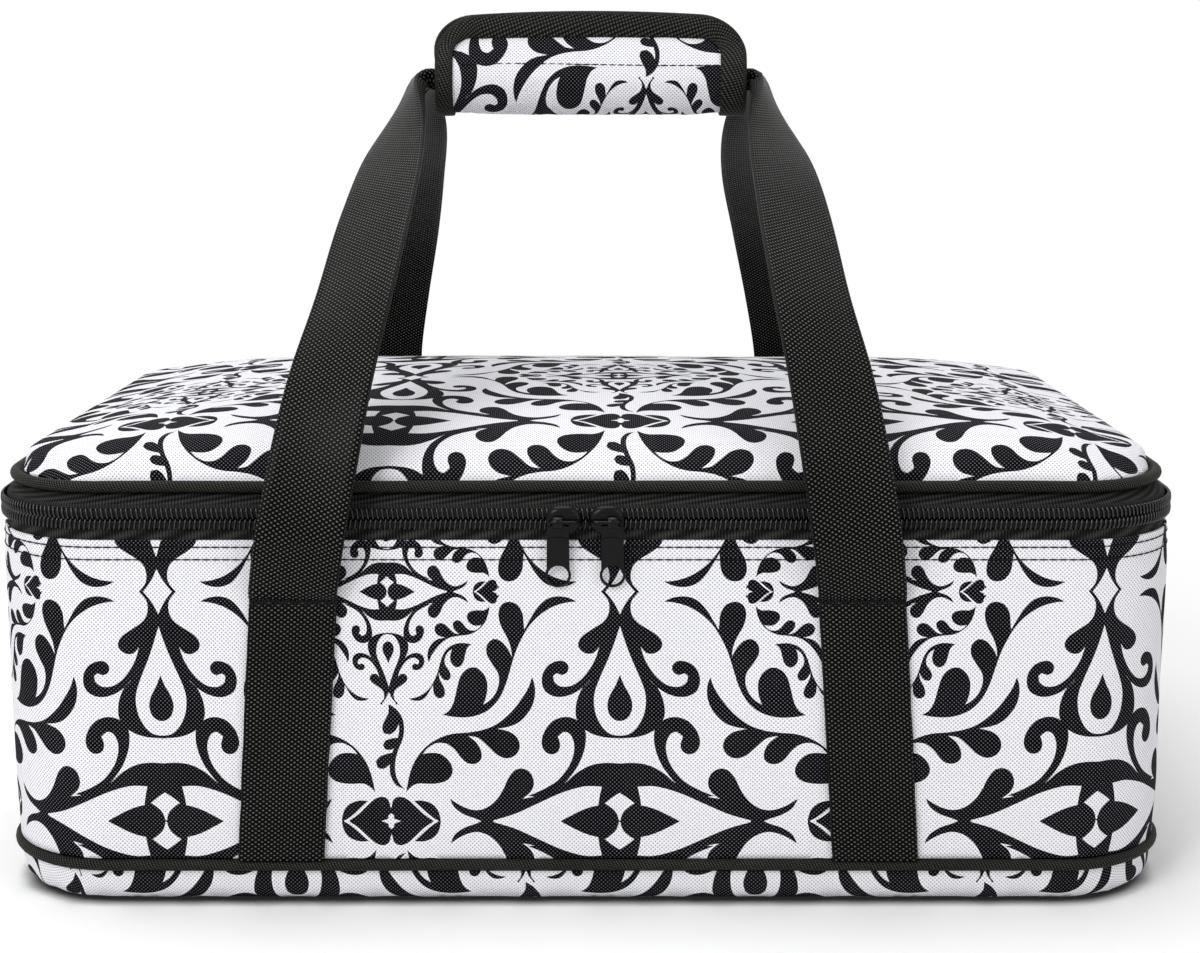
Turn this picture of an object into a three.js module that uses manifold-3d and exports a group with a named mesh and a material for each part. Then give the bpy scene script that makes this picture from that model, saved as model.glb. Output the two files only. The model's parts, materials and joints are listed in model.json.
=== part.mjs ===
// Casserole carrier: a padded printed-cloth box whose lid is zipped round three sides and
// hinged at the back, with two webbing handles that meet in a padded wrap grip.
// Millimetres, +Z up, the front looks towards -Y, the origin is in the middle of the resting face.
import * as THREE from 'three';
import { mergeVertices } from 'three/addons/utils/BufferGeometryUtils.js';
import Module from 'manifold-3d';

const wasm = await Module();
wasm.setup();

// Driving dimensions of the box
const bodyWidth = 410;
const bodyDepth = 290;
const cornerRadius = 40;
const floorSeamHeight = 15;
const wallTopHeight = 130.3;
const lidCrown = 18;
const clearance = 0.3;

// Driving dimensions of the zip; the reveals are the tape that shows under and over its rows
const coilRowHeight = 3.4;
const coilProud = 2;
const rowGap = 1;
const lowerReveal = 3.4;
const upperReveal = 6.4;
const sliderLength = 12;
const pullLength = 23.6;

// Layers of the walls, from the outside in
const clothThickness = 0.8;
const tapeThickness = 0.7;
const foamThickness = 5.9;
const linerThickness = 0.7;

// Driving dimensions of the handles
const webbingWidth = 30;
const webbingThickness = 1.8;
const barTackDrop = 20.3;
const footSpread = 102.9;
const barTackSpread = 96.3;
const frontFootShift = -2.6;
const gripShift = 1.4;

// Driving dimensions of the grip
const gripLength = 120;
const gripRise = 121.4;
const gripFlapHeight = 26.7;
const gripFoldRadius = 12;

// Fineness of round forms
const cornerSteps = 6;
const cordSides = 8;
const curveSegments = 10;
const minorSegments = 4;

const halfWidth = bodyWidth / 2;
const halfDepth = bodyDepth / 2;

// Heights that follow each other upwards from the top of the wall
const barTackHeight = wallTopHeight - barTackDrop;
const lowerRowBottom = wallTopHeight + lowerReveal;
const lowerRowTop = lowerRowBottom + coilRowHeight;
const zipSplitHeight = lowerRowTop + rowGap / 2;
const upperRowBottom = lowerRowTop + rowGap;
const upperRowTop = upperRowBottom + coilRowHeight;
const lidSeamHeight = upperRowTop + upperReveal;
const gripBottomHeight = lidSeamHeight + gripRise;
const foldHeight = gripBottomHeight + gripFoldRadius;
const gripTopHeight = foldHeight + gripFlapHeight;

const radians = THREE.MathUtils.degToRad;
const mix = THREE.MathUtils.lerp;

const materials = {
  cloth: { color: 0xdcdce0, roughness: 0.9, metalness: 0 },
  webbing: { color: 0x1e1d1c, roughness: 0.85, metalness: 0 },
  binding: { color: 0x1c1b1a, roughness: 0.85, metalness: 0 },
  coil: { color: 0x171615, roughness: 0.45, metalness: 0 },
  foam: { color: 0xe9e6dd, roughness: 1, metalness: 0 },
  liner: { color: 0xb9bcc0, roughness: 0.35, metalness: 0.2 },
  metal: { color: 0x161514, roughness: 0.35, metalness: 0.6 },
};

function part(name, geometry, kind) {
  const mesh = new THREE.Mesh(geometry, new THREE.MeshStandardMaterial(materials[kind]));
  mesh.name = name;
  return mesh;
}

// A closed solid from points and triangles, turned so that its faces look outwards
function solidFrom(points, triangles) {
  let volume = 0;
  for (const [a, b, c] of triangles) {
    volume += points[a].dot(points[b].clone().cross(points[c]));
  }
  const index = triangles.flatMap(([a, b, c]) => (volume > 0 ? [a, b, c] : [a, c, b]));
  const numbers = points.flatMap((point) => point.toArray());
  const perPoint = numbers.length / points.length;
  const geometry = new THREE.BufferGeometry();
  geometry.setAttribute('position', new THREE.Float32BufferAttribute(numbers, perPoint));
  geometry.setIndex(index);
  return geometry;
}

function turnOf(section) {
  return Math.sign(THREE.ShapeUtils.area(section));
}

// Rings of equal count joined in order; a cap section closes both ends, without one the rings
// join up in a loop
function loft(rings, capSection) {
  const count = rings[0].length;
  const triangles = [];
  const steps = capSection ? rings.length - 1 : rings.length;
  for (let i = 0; i < steps; i += 1) {
    const here = i * count;
    const next = ((i + 1) % rings.length) * count;
    for (let j = 0; j < count; j += 1) {
      const k = (j + 1) % count;
      triangles.push([here + j, next + j, next + k], [here + j, next + k, here + k]);
    }
  }
  if (capSection) {
    const last = (rings.length - 1) * count;
    for (const [a, b, c] of THREE.ShapeUtils.triangulateShape(capSection, [])) {
      const same = turnOf([capSection[a], capSection[b], capSection[c]]) === turnOf(capSection);
      const [p, q] = same ? [b, c] : [c, b];
      triangles.push([a, p, q], [last + a, last + q, last + p]);
    }
  }
  return solidFrom(rings.flat(), triangles);
}

// A section carried along frames; each frame has a point and the directions of the section's
// two axes
function sweep(frames, section, closed) {
  const flat = section.map(([across, up]) => new THREE.Vector2(across, up));
  const rings = frames.map((frame) =>
    flat.map((corner) =>
      frame.at
        .clone()
        .addScaledVector(frame.across, corner.x)
        .addScaledVector(frame.up, corner.y),
    ),
  );
  return loft(rings, closed ? null : flat);
}

// Two stacks of rings that share their outer edge, each closed in its middle by one point
function coveredStack(top, topMiddle, bottom, bottomMiddle) {
  const count = top[0].length;
  const points = [];
  const triangles = [];
  const addStack = (rings, middleHeight, turned) => {
    const first = points.length;
    const add = (a, b, c) => triangles.push(turned ? [a, c, b] : [a, b, c]);
    points.push(...rings.flat(), new THREE.Vector3(0, 0, middleHeight));
    const middle = points.length - 1;
    const last = first + (rings.length - 1) * count;
    for (let j = 0; j < count; j += 1) {
      const k = (j + 1) % count;
      for (let here = first; here < last; here += count) {
        add(here + j, here + k, here + count + k);
        add(here + j, here + count + k, here + count + j);
      }
      add(last + j, last + k, middle);
    }
    return first;
  };
  const high = addStack(top, topMiddle, false);
  const low = addStack(bottom, bottomMiddle, true);
  for (let j = 0; j < count; j += 1) {
    const k = (j + 1) % count;
    triangles.push([high + j, low + j, low + k], [high + j, low + k, high + k]);
  }
  return solidFrom(points, triangles);
}

const upwards = new THREE.Vector3(0, 0, 1);

// The order of a four-cornered section's corners, for its end caps
const square = [
  new THREE.Vector2(0, 0),
  new THREE.Vector2(1, 0),
  new THREE.Vector2(1, 1),
  new THREE.Vector2(0, 1),
];

// One corner of the box's outline as frames that look outwards, by quarter from the back left
function cornerFrames(quarter) {
  const signX = quarter === 0 || quarter === 1 ? -1 : 1;
  const signY = quarter === 0 || quarter === 3 ? 1 : -1;
  const frames = [];
  for (let step = 0; step <= cornerSteps; step += 1) {
    const angle = (Math.PI / 2) * (quarter + 1 + step / cornerSteps);
    const across = new THREE.Vector3(Math.cos(angle), Math.sin(angle), 0);
    const at = new THREE.Vector3(
      signX * (halfWidth - cornerRadius),
      signY * (halfDepth - cornerRadius),
      0,
    ).addScaledVector(across, cornerRadius);
    frames.push({ at, across, up: upwards });
  }
  return frames;
}

const outline = [0, 1, 2, 3].flatMap(cornerFrames);

function backFrame(x) {
  return { at: new THREE.Vector3(x, halfDepth, 0), across: new THREE.Vector3(0, 1, 0), up: upwards };
}

function ringAt(out, height) {
  return outline.map((frame) =>
    frame.at.clone().addScaledVector(frame.across, out).setZ(height),
  );
}

// A section from four bounds: outwards from the wall's outer face, and upwards
function strip(inner, outer, low, high) {
  return [
    [inner, low],
    [outer, low],
    [outer, high],
    [inner, high],
  ];
}

// Places of the layers, counted outwards from the wall's outer face
const tapeOuter = -(clothThickness + clearance);
const tapeInner = tapeOuter - tapeThickness;
const foamOuter = tapeOuter;
const foamInner = foamOuter - foamThickness;
const linerOuter = foamInner - clearance;
const linerInner = linerOuter - linerThickness;

// Piping: a cord in a folded strip whose flange is caught in the seam
const pipingRadius = 2;
const pipingFlange = 5.5;
const flangeThickness = 0.8;

function pipingSection(height, inset = 0) {
  const section = [];
  const flangeHalf = Math.asin(flangeThickness / 2 / pipingRadius);
  for (let side = 0; side <= cordSides; side += 1) {
    const angle = mix(flangeHalf - Math.PI, Math.PI - flangeHalf, side / cordSides);
    const across = Math.cos(angle) * pipingRadius;
    section.push([across - inset, height + Math.sin(angle) * pipingRadius]);
  }
  section.push([-pipingFlange - inset, height + flangeThickness / 2]);
  section.push([-pipingFlange - inset, height - flangeThickness / 2]);
  return section;
}

// The tub: printed walls and bottom, their foam, the liner, piping, the lower half of the zip
const bottomRoundWidth = 20;
const bottomRoundSteps = 5;
const baseFoamThickness = 5;
const tapeHidden = 10.5;
const coilDepth = 2.8;
const coilChamferShare = 0.28;
const zipReach = 15;
const rimBindingHeight = 2.7;
const foamTopDrop = 1.3;
const panelEdgeInset = 0.6;
const panelSeamSlack = 0.2;

const panelTop = floorSeamHeight - pipingRadius - clearance - panelSeamSlack;
const wallBottom = floorSeamHeight + pipingRadius + clearance;
const foamTop = wallTopHeight - foamTopDrop;
const zipEnd = halfWidth - cornerRadius - zipReach;

function bottomPanel() {
  const roundRings = (thickness) => {
    const rings = [];
    for (let step = 0; step <= bottomRoundSteps; step += 1) {
      const angle = (Math.PI / 2) * (step / bottomRoundSteps);
      const out = mix(panelEdgeInset + thickness, bottomRoundWidth, 1 - Math.cos(angle));
      rings.push(ringAt(-out, mix(thickness, panelTop, 1 - Math.sin(angle))));
    }
    return rings;
  };
  return coveredStack(roundRings(clothThickness), clothThickness, roundRings(0), 0);
}

function flatBoard(inset, low, thickness) {
  const high = low + thickness;
  return coveredStack([ringAt(-inset, high)], high, [ringAt(-inset, low)], low);
}

function foamWall() {
  const step = tapeInner - clearance;
  const tapeFoot = wallTopHeight - tapeHidden - clearance;
  const section = [
    [foamInner, wallBottom],
    [foamOuter, wallBottom],
    [foamOuter, tapeFoot],
    [step, tapeFoot],
    [step, foamTop],
    [foamInner, foamTop],
  ];
  return sweep(outline, section, true);
}

const baseFoamLow = clothThickness + clearance;
const linerFloor = baseFoamLow + baseFoamThickness + clearance;

function linerPan() {
  const floorTop = linerFloor + linerThickness;
  const inside = [ringAt(linerInner, foamTop), ringAt(linerInner, floorTop)];
  const outside = [ringAt(linerOuter, foamTop), ringAt(linerOuter, linerFloor)];
  return coveredStack(inside, floorTop, outside, linerFloor);
}

function zipPath() {
  return [backFrame(-zipEnd), ...outline, backFrame(zipEnd)];
}

function coilSection(low) {
  const inner = coilProud - coilDepth;
  const high = low + coilRowHeight;
  const chamfer = coilRowHeight * coilChamferShare;
  return [
    [inner, low],
    [coilProud - chamfer, low],
    [coilProud, low + chamfer],
    [coilProud, high - chamfer],
    [coilProud - chamfer, high],
    [inner, high],
  ];
}

function hingeHalf(section) {
  const half = zipEnd - clearance;
  return sweep([backFrame(-half), backFrame(half)], section, false);
}

// The webbing sewn to the wall, from the floor seam to the bar tack; it leans inwards
function sewnStrap(side, facing) {
  const shift = facing < 0 ? frontFootShift : 0;
  const rings = [];
  for (const [height, spread] of [
    [wallBottom, footSpread],
    [barTackHeight, barTackSpread],
  ]) {
    const middle = shift + side * spread;
    const near = facing * (halfDepth + clearance);
    const far = near + facing * webbingThickness;
    rings.push([
      new THREE.Vector3(middle - webbingWidth / 2, near, height),
      new THREE.Vector3(middle + webbingWidth / 2, near, height),
      new THREE.Vector3(middle + webbingWidth / 2, far, height),
      new THREE.Vector3(middle - webbingWidth / 2, far, height),
    ]);
  }
  return loft(rings, square);
}

function tub() {
  const group = new THREE.Group();
  const tapeTop = lowerRowTop - clearance;
  const tapeFoot = wallTopHeight - tapeHidden;
  const tapeSection = strip(tapeInner, tapeOuter, tapeFoot, tapeTop);
  const hingeSection = strip(tapeInner, tapeOuter, tapeFoot, zipSplitHeight - clearance);
  const rimFoot = foamTop + clearance;
  const rimTop = rimFoot + rimBindingHeight;
  const rimSection = strip(linerInner, tapeInner - clearance, rimFoot, rimTop);
  group.add(
    part('bottom_panel', bottomPanel(), 'cloth'),
    part('base_foam', flatBoard(bottomRoundWidth + clearance, baseFoamLow, baseFoamThickness), 'foam'),
    part('bottom_piping', sweep(outline, pipingSection(floorSeamHeight), true), 'binding'),
    part('outer_wall', sweep(outline, strip(-clothThickness, 0, wallBottom, wallTopHeight), true), 'cloth'),
    part('wall_foam', foamWall(), 'foam'),
    part('tub_liner', linerPan(), 'liner'),
    part('tub_rim_binding', sweep(outline, rimSection, true), 'binding'),
    part('lower_zip_tape', sweep(zipPath(), tapeSection, false), 'binding'),
    part('lower_zip_coil', sweep(zipPath(), coilSection(lowerRowBottom), false), 'coil'),
    part('hinge_cloth_lower', hingeHalf(hingeSection), 'binding'),
    part('front_strap_left_sewn', sewnStrap(-1, -1), 'webbing'),
    part('front_strap_right_sewn', sewnStrap(1, -1), 'webbing'),
    part('back_strap_left_sewn', sewnStrap(-1, 1), 'webbing'),
    part('back_strap_right_sewn', sewnStrap(1, 1), 'webbing'),
  );
  return group;
}

// The lid: a domed printed panel with foam and liner, its piping and the upper half of the zip;
// its seam lies further in than the zip, and its dome is steep near the seam and flat in the middle
const lidSeamInset = 4.5;
const domePowers = [2, 18];
const domeHeightShares = [0.72, 0.28];
const domeShares = [1, 0.985, 0.965, 0.94, 0.9, 0.84, 0.74, 0.6, 0.42, 0.2];
const lidFoamThickness = 5;
const lidEdgeRise = 1.5;
const lidBindingDepth = 4.1;

const lidEdge = lidSeamHeight + lidEdgeRise;
const lidPanelInset = lidSeamInset + pipingRadius + clearance;
const lidFoamInset = lidSeamInset + pipingFlange + flangeThickness;

// A dome whose rings shrink towards the middle, so that it has no ridges
function domeLayer(inset, drop, thickness) {
  const fall = (share) =>
    domeHeightShares.reduce((sum, height, i) => sum + height * share ** domePowers[i], 0);
  const crownAt = (share) => lidCrown * (1 - fall(share));
  const rings = (low) =>
    domeShares.map((share) => {
      const shrink = new THREE.Vector3(share, share, 1);
      return ringAt(-inset, low + crownAt(share)).map((point) => point.multiply(shrink));
    });
  const high = lidEdge - drop;
  const low = high - thickness;
  return coveredStack(rings(high), high + lidCrown, rings(low), low + lidCrown);
}

// The lid's tape and hinge cloth stand straight behind the zip, then lean in to the lid seam
function leaningStrip(low, high) {
  return [
    [tapeInner, low],
    [tapeOuter, low],
    [tapeOuter, upperRowTop],
    [tapeOuter - lidSeamInset, high],
    [tapeInner - lidSeamInset, high],
    [tapeInner, upperRowTop],
  ];
}

function lid() {
  const group = new THREE.Group();
  const tapeTop = lidSeamHeight - pipingRadius;
  const foamDrop = clothThickness + clearance;
  const linerDrop = foamDrop + lidFoamThickness + clearance;
  const bindingTop = lidSeamHeight - flangeThickness / 2 - clearance;
  const bindingOuter = tapeInner - clearance - lidSeamInset;
  const bindingInner = bindingOuter - lidBindingDepth;
  group.add(
    part('lid_panel', domeLayer(lidPanelInset, 0, clothThickness), 'cloth'),
    part('lid_foam', domeLayer(lidFoamInset + clearance, foamDrop, lidFoamThickness), 'foam'),
    part('lid_liner', domeLayer(lidFoamInset + clearance, linerDrop, linerThickness), 'liner'),
    part('lid_piping', sweep(outline, pipingSection(lidSeamHeight, lidSeamInset), true), 'binding'),
    part(
      'lid_seam_binding',
      sweep(
        outline,
        strip(bindingInner, bindingOuter, upperRowTop + clearance, bindingTop),
        true,
      ),
      'binding',
    ),
    part(
      'upper_zip_tape',
      sweep(zipPath(), leaningStrip(upperRowBottom + clearance, tapeTop), false),
      'binding',
    ),
    part('upper_zip_coil', sweep(zipPath(), coilSection(upperRowBottom), false), 'coil'),
    part('hinge_cloth_upper', hingeHalf(leaningStrip(zipSplitHeight + clearance, tapeTop)), 'binding'),
  );
  return group;
}

// The free webbing of a handle rises from the bar tacks, bows out past the zip, arches over the
// lid while it turns about its own length, and runs gathered through the grip
const bundleWidth = 5.6;
const bundleThickness = 8;
const bundleRise = 0.7;
const samplesPerSpan = 2;
const strapStartGap = 0.4;
const bundleHeight = foldHeight + bundleRise;
const bundleOffset = bundleWidth / 2 + clearance;
const strapStart = barTackHeight + strapStartGap;

// Each row: rise, way in from bar tack to grip end, lean from wall to grip, share of the full
// width kept, share gathered into thickness, share of the quarter turn
const legShares = [
  [0, 0, 0, 1, 0, 0],
  [0.021, 0.01, -0.022, 1, 0, 0],
  [0.1, 0.07, -0.054, 1, 0, 0],
  [0.16, 0.12, -0.063, 1, 0, 0],
  [0.29, 0.21, -0.022, 1, 0, 0],
  [0.43, 0.285, 0.068, 1, 0, 0.11],
  [0.59, 0.41, 0.235, 1, 0, 0.24],
  [0.755, 0.55, 0.505, 0.97, 0, 0.38],
  [0.885, 0.67, 0.795, 0.8, 0.1, 0.64],
  [0.975, 0.79, 0.965, 0.25, 0.6, 0.91],
  [1, 0.9, 0.994, 0.03, 0.95, 0.98],
  [1, 1, 1, 0, 1, 1],
];

function handleStations(facing) {
  const shift = facing < 0 ? frontFootShift : 0;
  const wallPlace = facing * (halfDepth + clearance + webbingThickness / 2);
  const gripPlace = facing * bundleOffset;
  const legPoints = (side) =>
    legShares.map(([rise, inward, lean]) => {
      const x = mix(shift + side * barTackSpread, gripShift + (side * gripLength) / 2, inward);
      return new THREE.Vector3(x, mix(wallPlace, gripPlace, lean), mix(strapStart, bundleHeight, rise));
    });
  const forms = legShares.map(
    ([, , , kept, gathered, turn]) => new THREE.Vector3(kept, gathered, turn),
  );
  const formCurve = new THREE.CatmullRomCurve3(forms, false, 'catmullrom');
  const steps = (legShares.length - 1) * samplesPerSpan;
  const leg = (side) => {
    const curve = new THREE.CatmullRomCurve3(legPoints(side), false, 'catmullrom');
    const stations = [];
    for (let step = 0; step <= steps; step += 1) {
      const form = formCurve.getPoint(step / steps);
      stations.push({ side, at: curve.getPoint(step / steps), form });
    }
    return stations;
  };
  return [...leg(-1), ...leg(1).reverse()];
}

function handleWebbing(facing) {
  const stations = handleStations(facing);
  const last = stations.length - 1;
  const back = new THREE.Vector3(0, -facing, 0);
  const rings = stations.map(({ side, at, form }, i) => {
    const before = stations[Math.max(i - 1, 0)].at;
    const after = stations[Math.min(i + 1, last)].at;
    const atFoot = i === 0 || i === last;
    const travel = atFoot ? new THREE.Vector3(0, 0, -side) : after.clone().sub(before).normalize();
    const turn = (Math.PI / 2) * THREE.MathUtils.clamp(form.z, 0, 1);
    const width = new THREE.Vector3(side * Math.cos(turn), 0, 0).addScaledVector(back, Math.sin(turn));
    width.addScaledVector(travel, -width.dot(travel)).normalize();
    const normal = travel.clone().cross(width);
    const kept = THREE.MathUtils.clamp(form.x, 0, 1);
    const gathered = THREE.MathUtils.clamp(form.y, 0, 1);
    width.multiplyScalar(mix(bundleWidth, webbingWidth, kept) / 2);
    normal.multiplyScalar(mix(webbingThickness, bundleThickness, gathered) / 2);
    return [
      at.clone().sub(width).sub(normal),
      at.clone().add(width).sub(normal),
      at.clone().add(width).add(normal),
      at.clone().sub(width).add(normal),
    ];
  });
  return loft(rings, square);
}

// The wrap grip: a padded sheet folded under both webbings, with bound edges
const foldSplitAngle = -40;
const frontFoldSteps = 7;
const backFoldSteps = 3;
const gripPadThickness = 1.6;
const gripCornerRadius = 13.5;
const gripCornerSteps = 5;
const bindingThickness = 0.8;
const bindingFront = 9;
const bindingBack = 4;
const bindingSlack = 0.5;
const hookWidth = 11;
const hookThickness = 1.6;
const hookEndGap = 8;
const edgeDepth = bindingThickness + clearance;

// Outer face of the side of the wrap above its fold: height and half thickness, as shares
const gripSideShares = [
  [0, 1],
  [0.22, 0.9],
  [0.42, 0.68],
  [0.6, 0.48],
  [0.8, 0.42],
  [1, 0.37],
];

// The wrap's outer face as points and outward normals, from the split under the fold to the top
// edge; the front half has the fold, the back half starts just past the split
function gripProfile(facing) {
  const splitGap = facing > 0 ? (2 * clearance) / gripFoldRadius : 0;
  const start = radians(foldSplitAngle) + splitGap;
  const end = facing > 0 ? 0 : -Math.PI;
  const steps = facing > 0 ? backFoldSteps : frontFoldSteps;
  const profile = [];
  for (let step = 0; step < steps; step += 1) {
    const angle = mix(start, end, step / steps);
    const normal = new THREE.Vector3(0, Math.cos(angle), Math.sin(angle));
    const along = new THREE.Vector3(0, -facing * normal.z, facing * normal.y);
    const at = normal.clone().multiplyScalar(gripFoldRadius).setZ(foldHeight + normal.z * gripFoldRadius);
    profile.push({ at, along, normal });
  }
  const sidePoints = gripSideShares.map(
    ([rise, thick]) =>
      new THREE.Vector3(0, facing * gripFoldRadius * thick, mix(foldHeight, gripTopHeight, rise)),
  );
  const side = new THREE.CatmullRomCurve3(sidePoints, false, 'catmullrom');
  const sideSteps = (gripSideShares.length - 1) * samplesPerSpan;
  for (let step = 0; step <= sideSteps; step += 1) {
    const along = side.getTangent(step / sideSteps);
    const normal = new THREE.Vector3(0, facing * along.z, -facing * along.y);
    profile.push({ at: side.getPoint(step / sideSteps), along, normal });
  }
  return profile;
}

// The same profile with its length counted down from the top edge, and points added by length
function gripRun(facing) {
  const profile = gripProfile(facing);
  const down = new Array(profile.length).fill(0);
  for (let i = profile.length - 2; i >= 0; i -= 1) {
    down[i] = down[i + 1] + profile[i].at.distanceTo(profile[i + 1].at);
  }
  const at = (length) => {
    let i = profile.length - 2;
    while (i > 0 && down[i] < length) {
      i -= 1;
    }
    const share = (length - down[i + 1]) / (down[i] - down[i + 1]);
    const blend = (key) => profile[i + 1][key].clone().lerp(profile[i][key], share);
    return { at: blend('at'), along: blend('along').normalize(), normal: blend('normal').normalize() };
  };
  return { at, length: down[0], knots: down };
}

// Places along the wrap, counted from the top: fine round the corners, then at the knots
function runLengths(run, from, to) {
  const lengths = [from];
  for (let step = 1; step <= gripCornerSteps; step += 1) {
    const turned = (Math.PI / 2) * (step / gripCornerSteps);
    lengths.push(edgeDepth + gripCornerRadius * (1 - Math.cos(turned)));
  }
  for (const knot of run.knots) {
    lengths.push(knot);
  }
  const least = bindingThickness;
  const inside = lengths.filter((length) => length > from + least && length < to - least);
  const sorted = [from, ...inside.sort((a, b) => a - b), to];
  const last = sorted.length - 1;
  return sorted.filter((length, i) => i === 0 || i === last || length - sorted[i - 1] > least / 2);
}

// How much the rounded upper corners take off the half width at a length below the top edge
function cornerLoss(length) {
  const rest = gripCornerRadius - Math.min(length - edgeDepth, gripCornerRadius);
  return gripCornerRadius - Math.sqrt(gripCornerRadius ** 2 - rest ** 2);
}

function gripSheet(facing, half, from, to, outer, inner) {
  const run = gripRun(facing);
  const rings = runLengths(run, from, to).map((length) => {
    const { at, normal } = run.at(length);
    const width = half - cornerLoss(length);
    const corner = (side, depth) =>
      at.clone().addScaledVector(normal, depth).setX(gripShift + side * width);
    return [corner(-1, inner), corner(1, inner), corner(1, outer), corner(-1, outer)];
  });
  return loft(rings, square);
}

// A folded strip round the free edges: up one side, over both rounded corners, down the other
function gripBinding(facing) {
  const run = gripRun(facing);
  const half = gripLength / 2 - edgeDepth;
  const frames = [];
  // Across the top the strip lies straight from the edge to the end of its back leg
  const addFrame = (x, length, sideways) => {
    const { at, along, normal } = run.at(length);
    if (Math.abs(sideways) < 1) {
      along.copy(at).sub(run.at(length + bindingBack).at).normalize();
      normal.set(0, facing * along.z, -facing * along.y);
    }
    const across = new THREE.Vector3(-sideways, 0, 0).addScaledVector(
      along,
      -Math.sqrt(Math.max(0, 1 - sideways ** 2)),
    );
    frames.push({ at: at.setX(gripShift + x), across, up: normal });
  };
  const straightFrom = edgeDepth + gripCornerRadius + bindingThickness;
  const sideLengths = run.knots.filter((length) => length > straightFrom);
  const topLength = edgeDepth;
  const radius = gripCornerRadius;
  for (const length of sideLengths) {
    addFrame(-half, length, -1);
  }
  for (const side of [-1, 1]) {
    const turns = [];
    for (let step = 0; step <= gripCornerSteps; step += 1) {
      turns.push((Math.PI / 2) * (step / gripCornerSteps));
    }
    if (side > 0) {
      turns.reverse();
    }
    for (const turn of turns) {
      const x = side * (half - radius + radius * Math.cos(turn));
      addFrame(x, topLength + radius - radius * Math.sin(turn), side * Math.cos(turn));
    }
  }
  for (const length of sideLengths.reverse()) {
    addFrame(half, length, 1);
  }
  const inside = -(clothThickness + clearance + gripPadThickness + clearance + bindingSlack / 2);
  const section = [
    [-clearance - bindingThickness, bindingSlack + bindingThickness],
    [bindingFront, bindingSlack + bindingThickness],
    [bindingFront, bindingSlack],
    [-clearance, bindingSlack],
    [-clearance, inside],
    [bindingBack, inside],
    [bindingBack, inside - bindingThickness],
    [-clearance - bindingThickness, inside - bindingThickness],
  ];
  return sweep(frames, section, false);
}

function gripHalf(facing, hookName) {
  const end = facing < 0 ? 'front' : 'back';
  const run = gripRun(facing);
  const half = gripLength / 2 - edgeDepth;
  const padOuter = -(clothThickness + clearance);
  const padInner = padOuter - gripPadThickness;
  const hookOuter = padInner - clearance;
  const padEnd = Math.min(gripTopHeight - foldHeight + edgeDepth, run.length);
  const hookTop = edgeDepth + bindingBack + clearance;
  return [
    part(`grip_${end}_cloth`, gripSheet(facing, half, edgeDepth, run.length, 0, -clothThickness), 'cloth'),
    part(
      `grip_${end}_padding`,
      gripSheet(facing, half - clearance, edgeDepth + clearance, padEnd, padOuter, padInner),
      'foam',
    ),
    part(`grip_${end}_binding`, gripBinding(facing), 'binding'),
    part(
      hookName,
      gripSheet(
        facing,
        half - bindingBack - hookEndGap,
        hookTop,
        hookTop + hookWidth,
        hookOuter,
        hookOuter - hookThickness,
      ),
      'binding',
    ),
  ];
}

// Zip sliders with a bridge, and pulls that hang from it
const sliderGap = 0.6;
const plateThickness = 0.8;
const bridgeReach = 2.6;
const bridgeBar = 1.1;
const bridgeDepth = 1.2;
const bridgeInset = 1.6;
const postHeight = 0.4;
const postInset = 1.2;
const postLength = 3;
const flangeDepth = 2.4;
const sliderFlange = 0.7;
const knuckleRadius = 1.95;
const knuckleBore = 1.15;
const knuckleLength = 3.4;
const pullTopWidth = 7.6;
const pullEndWidth = 8.6;
const pullThickness = 1.1;
const pullSetBack = 1;
const pullTilt = 9;
const pullStart = 1.4;
const ringWall = 1.1;
const ringReach = 6.4;
const ringCrown = 1.2;

function booleanSolid(geometry) {
  geometry.deleteAttribute('normal');
  geometry.deleteAttribute('uv');
  const merged = mergeVertices(geometry);
  const mesh = new wasm.Mesh({
    numProp: 3,
    vertProperties: Float32Array.from(merged.attributes.position.array),
    triVerts: Uint32Array.from(merged.index.array),
  });
  return new wasm.Manifold(mesh);
}

function geometryOf(solid) {
  const mesh = solid.getMesh();
  const geometry = new THREE.BufferGeometry();
  geometry.setAttribute('position', new THREE.BufferAttribute(mesh.vertProperties, mesh.numProp));
  geometry.setIndex(new THREE.BufferAttribute(mesh.triVerts, 1));
  return geometry;
}

function block(x0, x1, y0, y1, z0, z1) {
  const geometry = new THREE.BoxGeometry(x1 - x0, y1 - y0, z1 - z0);
  geometry.translate((x0 + x1) / 2, (y0 + y1) / 2, (z0 + z1) / 2);
  return booleanSolid(geometry);
}

// A shape drawn in the front view, thickened towards the back from a given place
function frontPlate(shape, near, thickness) {
  const geometry = new THREE.ExtrudeGeometry(shape, {
    depth: thickness,
    bevelEnabled: false,
    curveSegments: minorSegments,
  });
  geometry.rotateX(Math.PI / 2);
  geometry.translate(0, near + thickness, 0);
  return booleanSolid(geometry);
}

// A plate with a round nose at x = 0, of a given half height
function slipperShape(nose, half) {
  const shape = new THREE.Shape();
  shape.moveTo(nose, -half);
  shape.lineTo(sliderLength, -half);
  shape.lineTo(sliderLength, half);
  shape.lineTo(nose, half);
  shape.absellipse(nose, 0, nose, half, Math.PI / 2, Math.PI * 1.5, false);
  return shape;
}

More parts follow.
